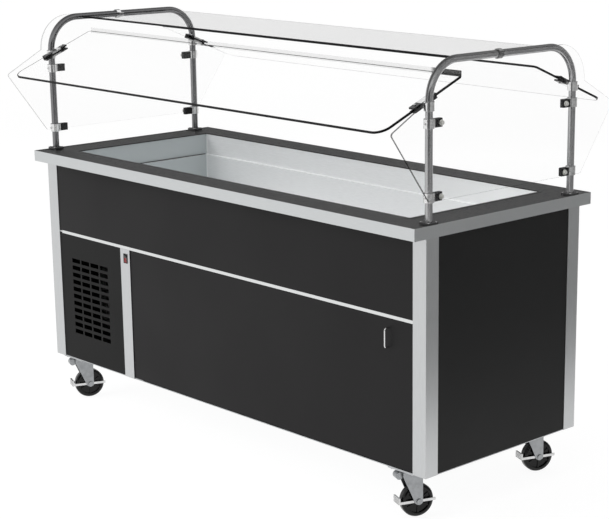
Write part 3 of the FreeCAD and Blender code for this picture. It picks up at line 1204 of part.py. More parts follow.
def make_top_clips():
    """A short sleeve on the bar with two lips that hold the edge of the top sheet."""
    y_low = "(-clip_offset - clip_length / 2)"
    sleeve = rod("clip_sleeve", "y", (ARCH_X, y_low, "arch_height"), "clip_length", "clip_ring")
    grip = "(guard_sheet / 2 + running_fit)"
    lip_end = "(top_guard_length / 2 - guard_jaw_cover)"
    y = (y_low, f"{y_low} + clip_length")
    lips = box("clip_lips", (lip_end, f"{ARCH_X} - tube_radius / 2"), y,
               (f"arch_height - {grip} - clip_plate", f"arch_height + {grip} + clip_plate"))
    slot = box("clip_slot", (lip_end, "top_guard_length / 2 + running_gap"), y,
               (f"arch_height - {grip}", f"arch_height + {grip}"))
    bore = rod("clip_bore", "y", (ARCH_X, y_low, "arch_height"), "clip_length", "tube_radius + running_fit")
    right = cut("top_clip_right", fuse("clip_blank", sleeve, lips), slot, bore)
    keep(together("top_clips", right, mirrored("top_clip_left", right, ACROSS_LENGTH)))


def make_guards():
    end = "(guard_length / 2)"
    half = "(guard_sheet / 2)"
    front = plate("front_guard", "XY_Plane",
                  [(f"-{end}", "-guard_reach", "guard_low_corner"), (end, "-guard_reach", "guard_low_corner"),
                   (end, "guard_rise", "guard_high_corner"), (f"-{end}", "guard_rise", "guard_high_corner")],
                  f"-{half}", half)
    turn(front, (1, 0, 0), "guard_tilt")
    keep(move(front, "0", f"-{POST_Y}", "guard_height"))
    keep(mirrored("back_guard", front, ACROSS_DEPTH))
    keep(round_block("top_guard", "top_guard_length", "top_guard_depth", "top_guard_corner",
                     f"arch_height - {half}", f"arch_height + {half}"))
    inner = f"({ARCH_X} + clamp_ring + running_gap)"
    right_half = [(f"({POST_Y} + end_foot_out)", "counter_height + end_foot_rise", "end_guard_tip_corner"),
                  (f"({POST_Y} + end_tip_out)", "arch_height - end_tip_drop", "end_guard_tip_corner"),
                  (f"({POST_Y} + end_neck_out)", "arch_height - end_neck_drop"),
                  (f"({POST_Y} + end_head_out)", "arch_height + end_head_rise", "end_guard_head_corner")]
    left_half = [("-" + corner[0],) + corner[1:] for corner in reversed(right_half)]
    right = keep(plate("end_guard_right", "YZ_Plane", right_half + left_half,
                       inner, f"{inner} + guard_sheet"))
    keep(mirrored("end_guard_left", right, ACROSS_LENGTH))


# ---------------------------------------------------------------------------------------------
# Casters: each is drawn round its own swivel axis, then turned and set under its corner
# ---------------------------------------------------------------------------------------------
RACE_LOW = "(floor_clearance - plate_sheet - race_height)"
FORK_TOP = f"({RACE_LOW} - running_gap)"
FORK_UNDER = f"({FORK_TOP} - fork_sheet)"
LEG_INSIDE = "(fork_inside / 2)"
LEG_OUTSIDE = f"({LEG_INSIDE} + fork_sheet)"
CORNERS = (("fl", -1, -1), ("fr", 1, -1), ("bl", -1, 1), ("br", 1, 1))


def swivel_axis(side, row):
    """The swivel axis ahead of the wheel's centre, the way that the parked caster points."""
    return (f"({side}) * wheel_grid_x - caster_trail * sin(caster_heading)",
            f"({row}) * wheel_grid_y - caster_trail * cos(caster_heading)")


def park(item, side, row):
    turn(item, (0, 0, -1), "caster_heading")
    return move(item, *swivel_axis(side, row), "0")


def caster_plate(corner, side, row):
    x, y = swivel_axis(side, row)
    top = box(f"plate_{corner}", (f"{x} - plate_length / 2", f"{x} + plate_length / 2"),
              (f"{y} - plate_depth / 2", f"{y} + plate_depth / 2"),
              ("floor_clearance - plate_sheet", "floor_clearance"))
    race = rod(f"race_{corner}", "z", (x, y, RACE_LOW), "race_height", "race_radius")
    head_top = f"({FORK_UNDER} - running_gap)"
    pin = rod(f"kingpin_{corner}", "z", (x, y, head_top), f"{RACE_LOW} - {head_top}", "kingpin_radius")
    head = rod(f"kingpin_head_{corner}", "z", (x, y, f"{head_top} - kingpin_head_height"),
               "kingpin_head_height", "kingpin_head")
    return fuse(f"caster_plate_{corner}", top, race, pin, head)


def make_fork(corner, side, row):
    leg_profile = [("-fork_back", FORK_TOP), ("-fork_back", f"{FORK_TOP} - fork_back_edge"),
                   ("caster_trail - fork_tip", "wheel_radius - fork_tip / 2", "fork_tip_corner"),
                   ("caster_trail", "wheel_radius - fork_tip", "fork_tip_corner"),
                   ("caster_trail + fork_tip", "wheel_radius - fork_tip / 2", "fork_tip_corner"),
                   ("fork_front", f"{FORK_TOP} - fork_front_edge"), ("fork_front", FORK_TOP)]
    legs = [plate(f"fork_leg_left_{corner}", "YZ_Plane", leg_profile, f"-{LEG_OUTSIDE}", f"-{LEG_INSIDE}"),
            plate(f"fork_leg_right_{corner}", "YZ_Plane", leg_profile, LEG_INSIDE, LEG_OUTSIDE)]
    crown = box(f"fork_crown_{corner}", (f"-{LEG_OUTSIDE}", LEG_OUTSIDE), ("-fork_back", "fork_front"),
                (FORK_UNDER, FORK_TOP))
    roll_z = f"({FORK_TOP} - lock_roll_radius)"
    roll = rod(f"lock_roll_{corner}", "x", ("-lock_roll_length / 2", "-lock_roll_back", roll_z),
               "lock_roll_length", "lock_roll_radius")
    king_hole = rod(f"kingpin_hole_{corner}", "z", ("0", "0", FORK_UNDER), "fork_sheet",
                    "kingpin_radius + running_fit")
    bolt_half = f"({LEG_OUTSIDE} + axle_head_height)"
    axle_hole = rod(f"axle_hole_{corner}", "x", (f"-{LEG_OUTSIDE}", "caster_trail", "wheel_radius"),
                    f"2 * {LEG_OUTSIDE}", "axle_radius")
    fork = cut(f"fork_{corner}", fuse(f"fork_blank_{corner}", *legs, crown, roll), king_hole, axle_hole)
    at = (f"-{bolt_half}", "caster_trail", "wheel_radius")
    shank = rod(f"axle_shank_{corner}", "x", at, f"2 * {bolt_half}", "axle_radius")
    head = rod(f"axle_head_{corner}", "x", at, "axle_head_height", "axle_head")
    nut = rod(f"axle_nut_{corner}", "x", (LEG_OUTSIDE, "caster_trail", "wheel_radius"), "axle_head_height",
              "axle_head")
    axle = fuse(f"axle_{corner}", shank, head, nut)
    keep(park(together(f"caster_fork_{corner}", fork, axle), side, row))


def make_wheel(corner, side, row):
    half, hub_half = "(wheel_width / 2)", "(hub_width / 2)"
    dish = f"({half} - wheel_dish)"
    bevel = "(wheel_edge / 3)"
    half_profile = [("axle_radius + running_fit", hub_half), ("hub_radius", hub_half), ("hub_radius", dish),
                    ("wheel_rim", dish), ("wheel_rim", half), ("wheel_radius - wheel_edge", half),
                    (f"wheel_radius - {bevel}", f"{half} - {bevel}"),
                    ("wheel_radius", f"{half} - wheel_edge")]
    far_side = [(radius, f"-({level})") for radius, level in reversed(half_profile)]
    wheel = turned(f"caster_wheel_{corner}_turned", half_profile + far_side)
    wheel.Placement = FreeCAD.Placement(FreeCAD.Vector(), AIM["x"])
    move(wheel, "0", "caster_trail", "wheel_radius")
    keep(park(together(f"caster_wheel_{corner}", wheel), side, row))


def make_brake(corner, side, row):
    outside = f"({LEG_INSIDE} - strap_side_gap)"
    inside = f"({outside} - strap_sheet)"
    low, high = "(wheel_radius - strap_height / 2)", "(wheel_radius + strap_height / 2)"
    back = "(caster_trail - strap_back)"
    y = (back, "caster_trail + strap_front")
    arms = [box(f"strap_left_{corner}", (f"-{outside}", f"-{inside}"), y, (low, high)),
            box(f"strap_right_{corner}", (inside, outside), y, (low, high))]
    pedal_z = (low, f"{low} + pedal_height")
    bar = box(f"pedal_bar_{corner}", (f"-{outside}", outside), (back, f"{back} + pedal_sheet"), pedal_z)
    grooves = []
    ribs = count("pedal_ribs")
    rib = f"(pedal_height / {2 * ribs - 1})"
    for groove in range(ribs - 1):
        z = f"({low} + {2 * groove + 1} * {rib})"
        grooves.append(box(f"pedal_groove_{corner}_{groove}", (f"-{outside}", outside),
                           (back, f"{back} + pedal_rib_depth"), (z, f"{z} + {rib}")))
    bore = rod(f"strap_bore_{corner}", "x", (f"-{outside}", "caster_trail", "wheel_radius"), f"2 * {outside}",
               "axle_radius + running_fit")
    eyes = [rod(f"strap_eye_left_{corner}", "x", (f"-{outside}", "caster_trail", "wheel_radius"),
                "strap_sheet", "axle_radius + strap_sheet"),
            rod(f"strap_eye_right_{corner}", "x", (inside, "caster_trail", "wheel_radius"),
                "strap_sheet", "axle_radius + strap_sheet")]
    brake = cut(f"caster_brake_{corner}", fuse(f"strap_blank_{corner}", *arms, bar, *eyes), bore, *grooves)
    keep(park(brake, side, row))


def make_casters():
    keep(together("caster_plates", *(caster_plate(*corner) for corner in CORNERS)))
    for corner in CORNERS:
        make_fork(*corner)
        make_wheel(*corner)
        make_brake(*corner)


# ---------------------------------------------------------------------------------------------
# Build, check and write
# ---------------------------------------------------------------------------------------------
make_fascia()
make_deck()
make_well()
make_insulation()
make_corner_posts()
make_base_pan()
make_panels()
make_vent_panel()
make_divider_strip()
make_trim_rail()
make_switch()
make_door()
make_pivots()
make_door_handle()
make_catch()
make_bay_wall()
make_shelf()
make_coil()
make_compressor()
make_condenser()
make_fan()
make_drain()
make_controls()
make_arches()
make_flanges()
make_end_clamps()
make_guard_clamps()
make_top_clips()
make_guards()
make_casters()
doc.recompute()

for item in doc.Objects:
    if "Invalid" in item.State or "Error" in item.State:
        raise RuntimeError(f"{item.Label} failed: {item.State}")
for item in nodes:
    if item.Shape.isNull() or not item.Shape.isValid():
        raise RuntimeError(f"{item.Label} has no valid shape")

os.makedirs("parts", exist_ok=True)
for item in nodes:
    item.Shape.exportStep(f"parts/{item.Label}.step")
whole = Part.Compound([item.Shape for item in nodes]).BoundBox
print(f"{len(nodes)} sub-parts, {whole.XLength:.1f} x {whole.YLength:.1f} x {whole.ZLength:.1f} mm")
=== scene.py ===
# %% [markdown]
# # A mobile salad bar, dressed for its portrait
#
# The real object is a long cold counter on four swivel casters. A stainless well for food pans sits in
# a stainless deck, black coated panels close the cabinet, and two bent tubes carry clear sloping
# guards over the food. The shapes with real sizes were made in CAD. This lesson loads them as a fixed
# frame, gives each one the finish of the real material, and models the small pieces that CAD left out:
# bolts, screws, wheel ribs, spacers, sealing beads, a strainer, sheet edges with a painted dark
# reflection and a dial.

# %% Load the frame
import json
import math
import bpy
import bmesh
from mathutils import Matrix, Vector


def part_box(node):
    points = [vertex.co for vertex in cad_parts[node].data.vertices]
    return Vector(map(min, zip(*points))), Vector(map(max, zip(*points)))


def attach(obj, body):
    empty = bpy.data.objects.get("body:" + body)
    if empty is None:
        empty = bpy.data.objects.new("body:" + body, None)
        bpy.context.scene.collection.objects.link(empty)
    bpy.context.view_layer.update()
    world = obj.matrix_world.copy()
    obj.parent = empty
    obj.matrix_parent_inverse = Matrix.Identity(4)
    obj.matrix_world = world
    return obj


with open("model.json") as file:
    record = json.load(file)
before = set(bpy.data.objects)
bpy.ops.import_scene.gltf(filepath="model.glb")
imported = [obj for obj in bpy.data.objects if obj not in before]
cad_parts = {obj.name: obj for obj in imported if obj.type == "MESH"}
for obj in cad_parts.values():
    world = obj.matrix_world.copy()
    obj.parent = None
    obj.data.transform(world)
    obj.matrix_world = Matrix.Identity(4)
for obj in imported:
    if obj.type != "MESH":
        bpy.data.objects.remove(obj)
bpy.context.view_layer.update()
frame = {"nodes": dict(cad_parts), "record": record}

# %% [markdown]
# ## The camera
#
# The photograph was taken from the front right, a little above the deck, with a long lens. The camera
# could be placed by eye, but straight edges of the counter were matched to the picture instead, which
# gave the place, the turn and the focal length below. The lens shift says that the picture is a crop
# whose centre isn't the lens's own centre.

# %% Camera
IMAGE_WIDTH, IMAGE_HEIGHT = 609, 519
FOCAL_PIXELS = 1706.74
CENTRE_X, CENTRE_Y = 420.83, 293.18
YAW, PITCH, ROLL = math.radians(44.325), math.radians(14.22), math.radians(0.137)

lens_data = bpy.data.cameras.new("portrait_camera")
lens_data.sensor_fit = "HORIZONTAL"
lens_data.sensor_width = 36.0
lens_data.lens = FOCAL_PIXELS * 36.0 / IMAGE_WIDTH
lens_data.shift_x = -(CENTRE_X - IMAGE_WIDTH / 2) / IMAGE_WIDTH
lens_data.shift_y = (CENTRE_Y - IMAGE_HEIGHT / 2) / IMAGE_WIDTH
lens_data.clip_end = 60
camera = bpy.data.objects.new("portrait_camera", lens_data)
bpy.context.scene.collection.objects.link(camera)
forward = Vector((-math.sin(YAW) * math.cos(PITCH), math.cos(YAW) * math.cos(PITCH), -math.sin(PITCH)))
level = Vector((math.cos(YAW), math.sin(YAW), 0))
upward = level.cross(forward)
right = level * math.cos(ROLL) + upward * math.sin(ROLL)
top = upward * math.cos(ROLL) - level * math.sin(ROLL)
turn = Matrix((right, top, -forward)).transposed().to_4x4()
camera.matrix_world = Matrix.Translation((4.10951, -3.62015, 1.86145)) @ turn
bpy.context.scene.camera = camera
bpy.context.scene.view_settings.view_transform = "Standard"
print("lens", round(lens_data.lens, 2), "mm")

# %% [markdown]
# ## Light and floor
#
# A catalogue picture is lit by large soft lamps, on a white sweep of paper. The world is white where
# the camera, a mirror or glass looks at it, and weaker where it only lights the object, so black
# panels stay black. The floor adds a little white glow to plain paper, so that it meets the white
# behind it and still keeps the soft shadow.

# %% World and floor
def seen_ray(nodes, links):
    """1 for camera, mirror and glass rays, 0 for the rays that only carry light."""
    path = nodes.new("ShaderNodeLightPath")
    first = nodes.new("ShaderNodeMath")
    first.operation = "MAXIMUM"
    links.new(path.outputs["Is Camera Ray"], first.inputs[0])
    links.new(path.outputs["Is Glossy Ray"], first.inputs[1])
    second = nodes.new("ShaderNodeMath")
    second.operation = "MAXIMUM"
    links.new(first.outputs[0], second.inputs[0])
    links.new(path.outputs["Is Transmission Ray"], second.inputs[1])
    return second.outputs[0]


world = bpy.data.worlds.new("white_studio")
bpy.context.scene.world = world
world.use_nodes = True
nodes, links = world.node_tree.nodes, world.node_tree.links
nodes.clear()
lighting = nodes.new("ShaderNodeBackground")
lighting.inputs["Color"].default_value = (1, 1, 1, 1)
lighting.inputs["Strength"].default_value = 0.55
backdrop = nodes.new("ShaderNodeBackground")
backdrop.inputs["Color"].default_value = (1, 1, 1, 1)
backdrop.inputs["Strength"].default_value = 1.0
choice = nodes.new("ShaderNodeMixShader")
links.new(seen_ray(nodes, links), choice.inputs[0])
links.new(lighting.outputs[0], choice.inputs[1])
links.new(backdrop.outputs[0], choice.inputs[2])
links.new(choice.outputs[0], nodes.new("ShaderNodeOutputWorld").inputs[0])

bpy.ops.object.select_all(action="DESELECT")
bpy.ops.mesh.primitive_plane_add(size=60, location=(0, 0, 0))
floor = bpy.context.object
floor.name = "paper_floor"
paper = bpy.data.materials.new("white_paper")
paper.use_nodes = True
nodes, links = paper.node_tree.nodes, paper.node_tree.links
nodes.clear()
plain = nodes.new("ShaderNodeBsdfDiffuse")
plain.inputs["Color"].default_value = (0.80, 0.80, 0.80, 1)
glow = nodes.new("ShaderNodeEmission")
glow.inputs["Color"].default_value = (1, 1, 1, 1)
glow.inputs["Strength"].default_value = 1.11
share = nodes.new("ShaderNodeMath")
share.operation = "MULTIPLY"
share.inputs[1].default_value = 0.84
links.new(seen_ray(nodes, links), share.inputs[0])
blend = nodes.new("ShaderNodeMixShader")
links.new(share.outputs[0], blend.inputs[0])
links.new(plain.outputs[0], blend.inputs[1])
links.new(glow.outputs[0], blend.inputs[2])
links.new(blend.outputs[0], nodes.new("ShaderNodeOutputMaterial").inputs[0])
floor.data.materials.append(paper)
print("floor and world are white")

# %% [markdown]
# The main lamp hangs front left and the second one above. Grey cards that the camera doesn't see
# stand at the right end, far behind and beside the camera: polished metal shows what is round it, and
# without something darker to reflect, the right end, the deck and the tubes would look like paper.

# %% Lamps and cards
def soft_lamp(name, place, aim, width, height, watts):
    """A large flat lamp at a place, turned towards a point."""
    data = bpy.data.lights.new(name, "AREA")
    data.shape = "RECTANGLE"
    data.size, data.size_y = width, height
    data.energy = watts
    lamp = bpy.data.objects.new(name, data)
    bpy.context.scene.collection.objects.link(lamp)
    lamp.location = place
    lamp.rotation_euler = (Vector(aim) - Vector(place)).to_track_quat("-Z", "Y").to_euler()
    lamp.visible_glossy = False
    return lamp


def grey_card(name, start, end, low, high, tone):
    """An upright card that mirrors and soft light see, but not the camera."""
    corners = [(*start, low), (*end, low), (*end, high), (*start, high)]
    mesh = bpy.data.meshes.new(name)
    mesh.from_pydata(corners, [], [(0, 1, 2, 3)])
    card = bpy.data.objects.new(name, mesh)
    bpy.context.scene.collection.objects.link(card)
    material = bpy.data.materials.new(name)
    material.use_nodes = True
    shader = material.node_tree.nodes["Principled BSDF"]
    shader.inputs["Base Color"].default_value = (tone, tone, tone, 1)
    shader.inputs["Roughness"].default_value = 1.0
    shader.inputs["Specular IOR Level"].default_value = 0.0
    mesh.materials.append(material)
    card.visible_camera = False
    card.visible_shadow = False
    card.visible_transmission = False
    return card


soft_lamp("key_lamp", (-2.6, -4.2, 3.2), (0, 0, 0.7), 2.6, 2.2, 110)
soft_lamp("top_lamp", (0.4, -0.4, 3.8), (0, 0, 0.8), 3.2, 2.4, 50)
grey_card("end_card", (1.6, -0.6), (1.6, 3.6), 0.03, 2.9, 0.56)
grey_card("far_card", (-6.5, 1.5), (0.5, 8.0), 0.9, 4.0, 0.22)
grey_card("view_card", (1.6, -5.3), (5.0, -2.0), 0.1, 2.8, 0.16)
print("two lamps, three cards")

# %% [markdown]
# ## Brushed and plated metal
#
# Stainless sheet is rolled and then brushed, so its fine scratches all run along one direction. They
# could be an image, but noise that is stretched along that direction looks the same from close by and
# works at any size. The noise reads object coordinates, which are real metres here. It makes the
# colour and the roughness waver a little, and a bump makes the scratches catch the light. A Bevel
# node rounds the look of the sharp CAD edges by under a millimetre.

# %% Material helpers
def blank_material(name):
    """A node material, with its shader and its node tree."""
    material = bpy.data.materials.new(name)
    material.use_nodes = True
    tree = material.node_tree
    return material, tree, tree.nodes["Principled BSDF"]


def stretched_noise(tree, stretch, size, detail=4.0):
    """Noise in object coordinates; a larger stretch number packs it tighter along that axis."""
    place = tree.nodes.new("ShaderNodeTexCoord")
    mapping = tree.nodes.new("ShaderNodeMapping")
    mapping.inputs["Scale"].default_value = stretch
    noise = tree.nodes.new("ShaderNodeTexNoise")
    noise.inputs["Scale"].default_value = size
    noise.inputs["Detail"].default_value = detail
    tree.links.new(place.outputs["Object"], mapping.inputs["Vector"])
    tree.links.new(mapping.outputs[0], noise.inputs["Vector"])
    return noise.outputs["Fac"]


def spread(tree, source, low, high):
    """Turns a noise of about 0.3 to 0.7 into values from low to high."""
    span = tree.nodes.new("ShaderNodeMapRange")
    span.inputs["From Min"].default_value = 0.3
    span.inputs["From Max"].default_value = 0.7
    span.inputs["To Min"].default_value = low
    span.inputs["To Max"].default_value = high
    tree.links.new(source, span.inputs["Value"])
    return span.outputs["Result"]


def two_tones(tree, source, dark, light):
    """A colour between two tones, driven by a noise."""
    ramp = tree.nodes.new("ShaderNodeValToRGB")
    ramp.color_ramp.elements[0].position = 0.3
    ramp.color_ramp.elements[0].color = (*dark, 1)
    ramp.color_ramp.elements[1].position = 0.7
    ramp.color_ramp.elements[1].color = (*light, 1)
    tree.links.new(source, ramp.inputs[0])
    return ramp.outputs[0]


def surface_relief(tree, shader, source, strength, depth, edge=0.0006):
    """A bump from a noise, over softly rounded edges."""
    bump = tree.nodes.new("ShaderNodeBump")
    bump.inputs["Strength"].default_value = strength
    bump.inputs["Distance"].default_value = depth
    soft = tree.nodes.new("ShaderNodeBevel")
    soft.samples = 4
    soft.inputs["Radius"].default_value = edge
    tree.links.new(source, bump.inputs["Height"])
    tree.links.new(soft.outputs[0], bump.inputs["Normal"])
    tree.links.new(bump.outputs[0], shader.inputs["Normal"])


def metal(name, tone, rough, grain=(1, 1, 1), size=40.0, waver=0.06, strength=0.12, depth=0.0002,
          edge=0.0006):
    """Bare or plated metal with a directed grain."""
    material, tree, shader = blank_material(name)
    shader.inputs["Metallic"].default_value = 1.0
    fine = stretched_noise(tree, grain, size)
    dark = [value * (1 - waver) for value in tone]
    light = [min(1.0, value * (1 + waver)) for value in tone]
    tree.links.new(two_tones(tree, fine, dark, light), shader.inputs["Base Color"])
    tree.links.new(spread(tree, fine, rough * 0.85, rough * 1.15), shader.inputs["Roughness"])
    surface_relief(tree, shader, fine, strength, depth, edge)
    return material


# %% [markdown]
# The same helper gives every metal of the counter. A grain that runs along X is the brushed sheet, one
# that runs along Z is the posts and tubes, and an even grain is a casting, a plating or a drawn wire.
# The steel of the well is satin, not mirror bright, so part of its colour is matte.

# %% Metals of the counter
ALONG_X, ALONG_Z = (1.5, 60, 60), (60, 60, 1.5)
metals = {
    # The deck's dark tone is a painted reflection of dark surroundings on bright stainless.
    "deck_steel": metal("deck_steel", (0.165, 0.165, 0.167), 0.30, ALONG_X, 22),
    "bright_steel": metal("bright_steel", (0.60, 0.615, 0.62), 0.36, ALONG_X, 22),
    "post_steel": metal("post_steel", (0.58, 0.59, 0.595), 0.36, ALONG_Z, 22),
    "well_steel": metal("well_steel", (0.86, 0.87, 0.875), 0.34, ALONG_X, 22),
    "bright_trim": metal("bright_trim", (0.72, 0.73, 0.73), 0.30, ALONG_X, 20),
    "zinc_sheet": metal("zinc_sheet", (0.50, 0.51, 0.52), 0.42, (1, 1, 1), 35, 0.14, 0.05),
    "zinc_fork": metal("zinc_fork", (0.36, 0.37, 0.38), 0.38, (1, 1, 1), 60, 0.16, 0.08),
    "chrome_wire": metal("chrome_wire", (0.72, 0.72, 0.72), 0.12, (1, 1, 1), 90, 0.03, 0.02),
    "copper_tube": metal("copper_tube", (0.62, 0.33, 0.22), 0.30, (1, 1, 1), 50, 0.12, 0.04),
    "brass_fitting": metal("brass_fitting", (0.62, 0.46, 0.22), 0.34, (1, 1, 1), 260, 0.08, 0.20),
    "fin_aluminium": metal("fin_aluminium", (0.34, 0.34, 0.34), 0.34, ALONG_X, 20, 0.05),
    # The tubes' dark tone is a painted reflection of dark surroundings on polished steel.
    "tube_steel": metal("tube_steel", (0.21, 0.21, 0.215), 0.20, ALONG_Z, 30, 0.05, 0.06),
    "bright_screw": metal("bright_screw", (0.78, 0.78, 0.78), 0.20, (1, 1, 1), 200, 0.05, 0.06),
    "clamp_metal": metal("clamp_metal", (0.74, 0.74, 0.74), 0.14, (1, 1, 1), 160, 0.14, 0.30),
    "clip_metal": metal("clip_metal", (0.86, 0.86, 0.86), 0.36, (1, 1, 1), 160, 0.04, 0.06),
    "bright_strap": metal("bright_strap", (0.66, 0.66, 0.66), 0.22, (1, 1, 1), 90, 0.10, 0.08),
}
WELL_METAL_SHARE = 0.36
metals["well_steel"].node_tree.nodes["Principled BSDF"].inputs["Metallic"].default_value = WELL_METAL_SHARE
print(len(metals), "metals")

# %% [markdown]
# ## Painted reflections and shade that follow a place or a direction
#
# Polished metal is as light or as dark as what it faces. In the photograph the well's left wall is
# darker than its back wall and the right part is nearly white, the left arch is darker than the right
# one, tubes are dark on top, and each clamp has a bright ring and dark jaws. More cards in the room
# could draw some of that, but each would change everything else too. So these reflections and this
# shade are painted: a second tone is mixed in where the surface's own place or direction says so,
# which looks the same from every side.

# %% Painted reflections and shade by place and direction
def retinted(material, factor, other):
    """Mixes another tone into a material's colour where the factor says so."""
    tree = material.node_tree
    socket = tree.nodes["Principled BSDF"].inputs["Base Color"]
    mix = tree.nodes.new("ShaderNodeMix")
    mix.data_type = "RGBA"
    tree.links.new(factor, mix.inputs["Factor"])
    tree.links.new(socket.links[0].from_socket, mix.inputs[6])
    mix.inputs[7].default_value = (*other, 1)
    tree.links.new(mix.outputs[2], socket)


def axis_value(material, node_kind, output, axis):
    """One coordinate of the place or of the normal."""
    tree = material.node_tree
    source = tree.nodes.new(node_kind)
    parts = tree.nodes.new("ShaderNodeSeparateXYZ")
    tree.links.new(source.outputs[output], parts.inputs[0])
    return parts.outputs[axis]


def place_on(material, axis):
    """A coordinate of the place, in metres."""
    return axis_value(material, "ShaderNodeTexCoord", "Object", axis)


def facing_along(material, axis):
    """How far the surface faces along an axis, from -1 to 1."""
    return axis_value(material, "ShaderNodeNewGeometry", "Normal", axis)


def step_up(material, source, low, high):
    """0 below the low value, 1 above the high one."""
    span = material.node_tree.nodes.new("ShaderNodeMapRange")
    span.inputs["From Min"].default_value = low
    span.inputs["From Max"].default_value = high
    material.node_tree.links.new(source, span.inputs["Value"])
    return span.outputs["Result"]


def distance_from_pair(material, axis, middle):
    """How far a place lies from the nearer of two mirrored planes, at plus and minus a value."""
    tree = material.node_tree
    size = tree.nodes.new("ShaderNodeMath")
    size.operation = "ABSOLUTE"
    tree.links.new(place_on(material, axis), size.inputs[0])
    away = tree.nodes.new("ShaderNodeMath")
    away.operation = "SUBTRACT"
    away.inputs[1].default_value = middle
    tree.links.new(size.outputs[0], away.inputs[0])
    gap = tree.nodes.new("ShaderNodeMath")
    gap.operation = "ABSOLUTE"
    tree.links.new(away.outputs[0], gap.inputs[0])
    return gap.outputs[0]


RING_PLANE, RING_HALF = 0.3055, 0.0170
CLIP_HIGHLIGHT_PLANE, CLIP_HIGHLIGHT_HALF = 0.8800, 0.0130
well, tube = metals["well_steel"], metals["tube_steel"]
clamp, clip = metals["clamp_metal"], metals["clip_metal"]
# Painted light: the well is mixed towards near white from x = 0.25 to 0.65 m, its right part.
retinted(well, step_up(well, place_on(well, "X"), 0.25, 0.65), (0.99, 1.0, 1.0))
# Painted shade: faces turned towards +X, the well's left wall, are mixed towards a darker grey.
retinted(well, step_up(well, facing_along(well, "X"), 0.5, 0.9), (0.48, 0.52, 0.53))
# Painted reflection: the right arch, past x = 0.1 m, is mixed towards a lighter grey than the left one.
retinted(tube, step_up(tube, place_on(tube, "X"), 0, 0.1), (0.42, 0.42, 0.425))
# Painted shade: the tubes are mixed towards near black where they face upwards.
retinted(tube, step_up(tube, facing_along(tube, "Z"), 0.25, 0.85), (0.045, 0.045, 0.046))
# Painted reflection: more than 17 mm from the post's plane the clamp is mixed towards near black, which
# draws the dark jaws beside the bright ring.
from_ring = distance_from_pair(clamp, "Y", RING_PLANE)
retinted(clamp, step_up(clamp, from_ring, RING_HALF, RING_HALF + 0.0002), (0.035, 0.035, 0.036))
# Painted highlight: the clip stays bright only within 13 mm of x = plus or minus 0.88 m and is mixed towards
# dark grey elsewhere.
from_clip_highlight = distance_from_pair(clip, "X", CLIP_HIGHLIGHT_PLANE)
retinted(clip, step_up(clip, from_clip_highlight, CLIP_HIGHLIGHT_HALF, CLIP_HIGHLIGHT_HALF + 0.0004), (0.25, 0.25, 0.25))
print("well, tube, clamp and clip have a second tone")

# %% [markdown]
# ## Coated panels, plastics and enamel
#
# The cabinet panels have a black semi-matte coating. Up close it isn't flat black: it has a very fine
# grain, and its sheen changes a little over a hand's width where the sheet isn't quite flat. Moulded
# plastic has a finer and shallower grain, and enamel lies in soft ripples. One helper gives all
# three, with two noises: a fine one for the grain and a broad one for tone and sheen.

# %% Coatings
def coating(name, tone, rough, specular, grain=900.0, strength=0.10, depth=0.00015, broad=3.0,
            waver=0.12, edge=0.0006):
    """A non-metal finish: fine grain, with tone and sheen that waver over a wider distance."""
    material, tree, shader = blank_material(name)
    shader.inputs["Specular IOR Level"].default_value = specular
    wide = stretched_noise(tree, (1, 1, 1), broad, 2.0)
    fine = stretched_noise(tree, (1, 1, 1), grain, 2.0)
    dark = [value * (1 - waver) for value in tone]
    light = [min(1.0, value * (1 + waver)) for value in tone]
    tree.links.new(two_tones(tree, wide, dark, light), shader.inputs["Base Color"])
    tree.links.new(spread(tree, wide, rough * 0.9, rough * 1.1), shader.inputs["Roughness"])
    surface_relief(tree, shader, fine, strength, depth, edge)
    return material


coatings = {
    "front_panel": coating("front_panel", (0.009, 0.0085, 0.009), 0.50, 0.21),
    "end_panel": coating("end_panel", (0.014, 0.014, 0.014), 0.52, 0.23),
    "vent_panel": coating("vent_panel", (0.007, 0.007, 0.007), 0.48, 0.14),
    "foam": coating("foam", (0.80, 0.72, 0.50), 0.9, 0.2, 300, 0.6, 0.0008, 8),
    "nylon": coating("nylon", (0.80, 0.80, 0.76), 0.45, 0.5, 600),
    "black_plastic": coating("black_plastic", (0.014, 0.014, 0.014), 0.42, 0.5, 700, 0.15),
    "white_plastic": coating("white_plastic", (0.72, 0.72, 0.69), 0.40, 0.5, 700, 0.12),
    "black_paint": coating("black_paint", (0.012, 0.012, 0.012), 0.28, 0.5, 120, 0.10, 0.0004),
    "dark_flange": coating("dark_flange", (0.035, 0.035, 0.036), 0.34, 0.5, 500, 0.15),
    "wheel_black": coating("wheel_black", (0.0025, 0.0025, 0.0025), 0.20, 0.30, 400, 0.05, 0.0001),
    "seal_rubber": coating("seal_rubber", (0.018, 0.018, 0.018), 0.6, 0.3, 500, 0.2),
    "dial_print": coating("dial_print", (0.70, 0.70, 0.68), 0.5, 0.3, 900),
}
print(len(coatings), "coatings")

# %% [markdown]
# The rocker switch is one dark red moulding whose upper end is printed black. The print follows a
# height on the piece, so the colour is chosen by the object's Z coordinate, with a noise that roughens
# the tone a little as on real moulded plastic.

# %% Rocker switch
rocker_low, rocker_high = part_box("switch_rocker")
print_line = rocker_low.z + 0.60 * (rocker_high.z - rocker_low.z)
switch_red, tree, shader = blank_material("switch_red")
shader.inputs["Roughness"].default_value = 0.22
red = two_tones(tree, stretched_noise(tree, (1, 1, 1), 500), (0.20, 0.006, 0.006), (0.28, 0.012, 0.012))
tree.links.new(red, shader.inputs["Base Color"])
above = step_up(switch_red, place_on(switch_red, "Z"), print_line, print_line + 0.00005)
retinted(switch_red, above, (0.008, 0.008, 0.008))
surface_relief(tree, shader, stretched_noise(tree, (1, 1, 1), 700), 0.08, 0.0001)
coatings["switch_red"] = switch_red
print("the print starts at", round(print_line, 4), "m")
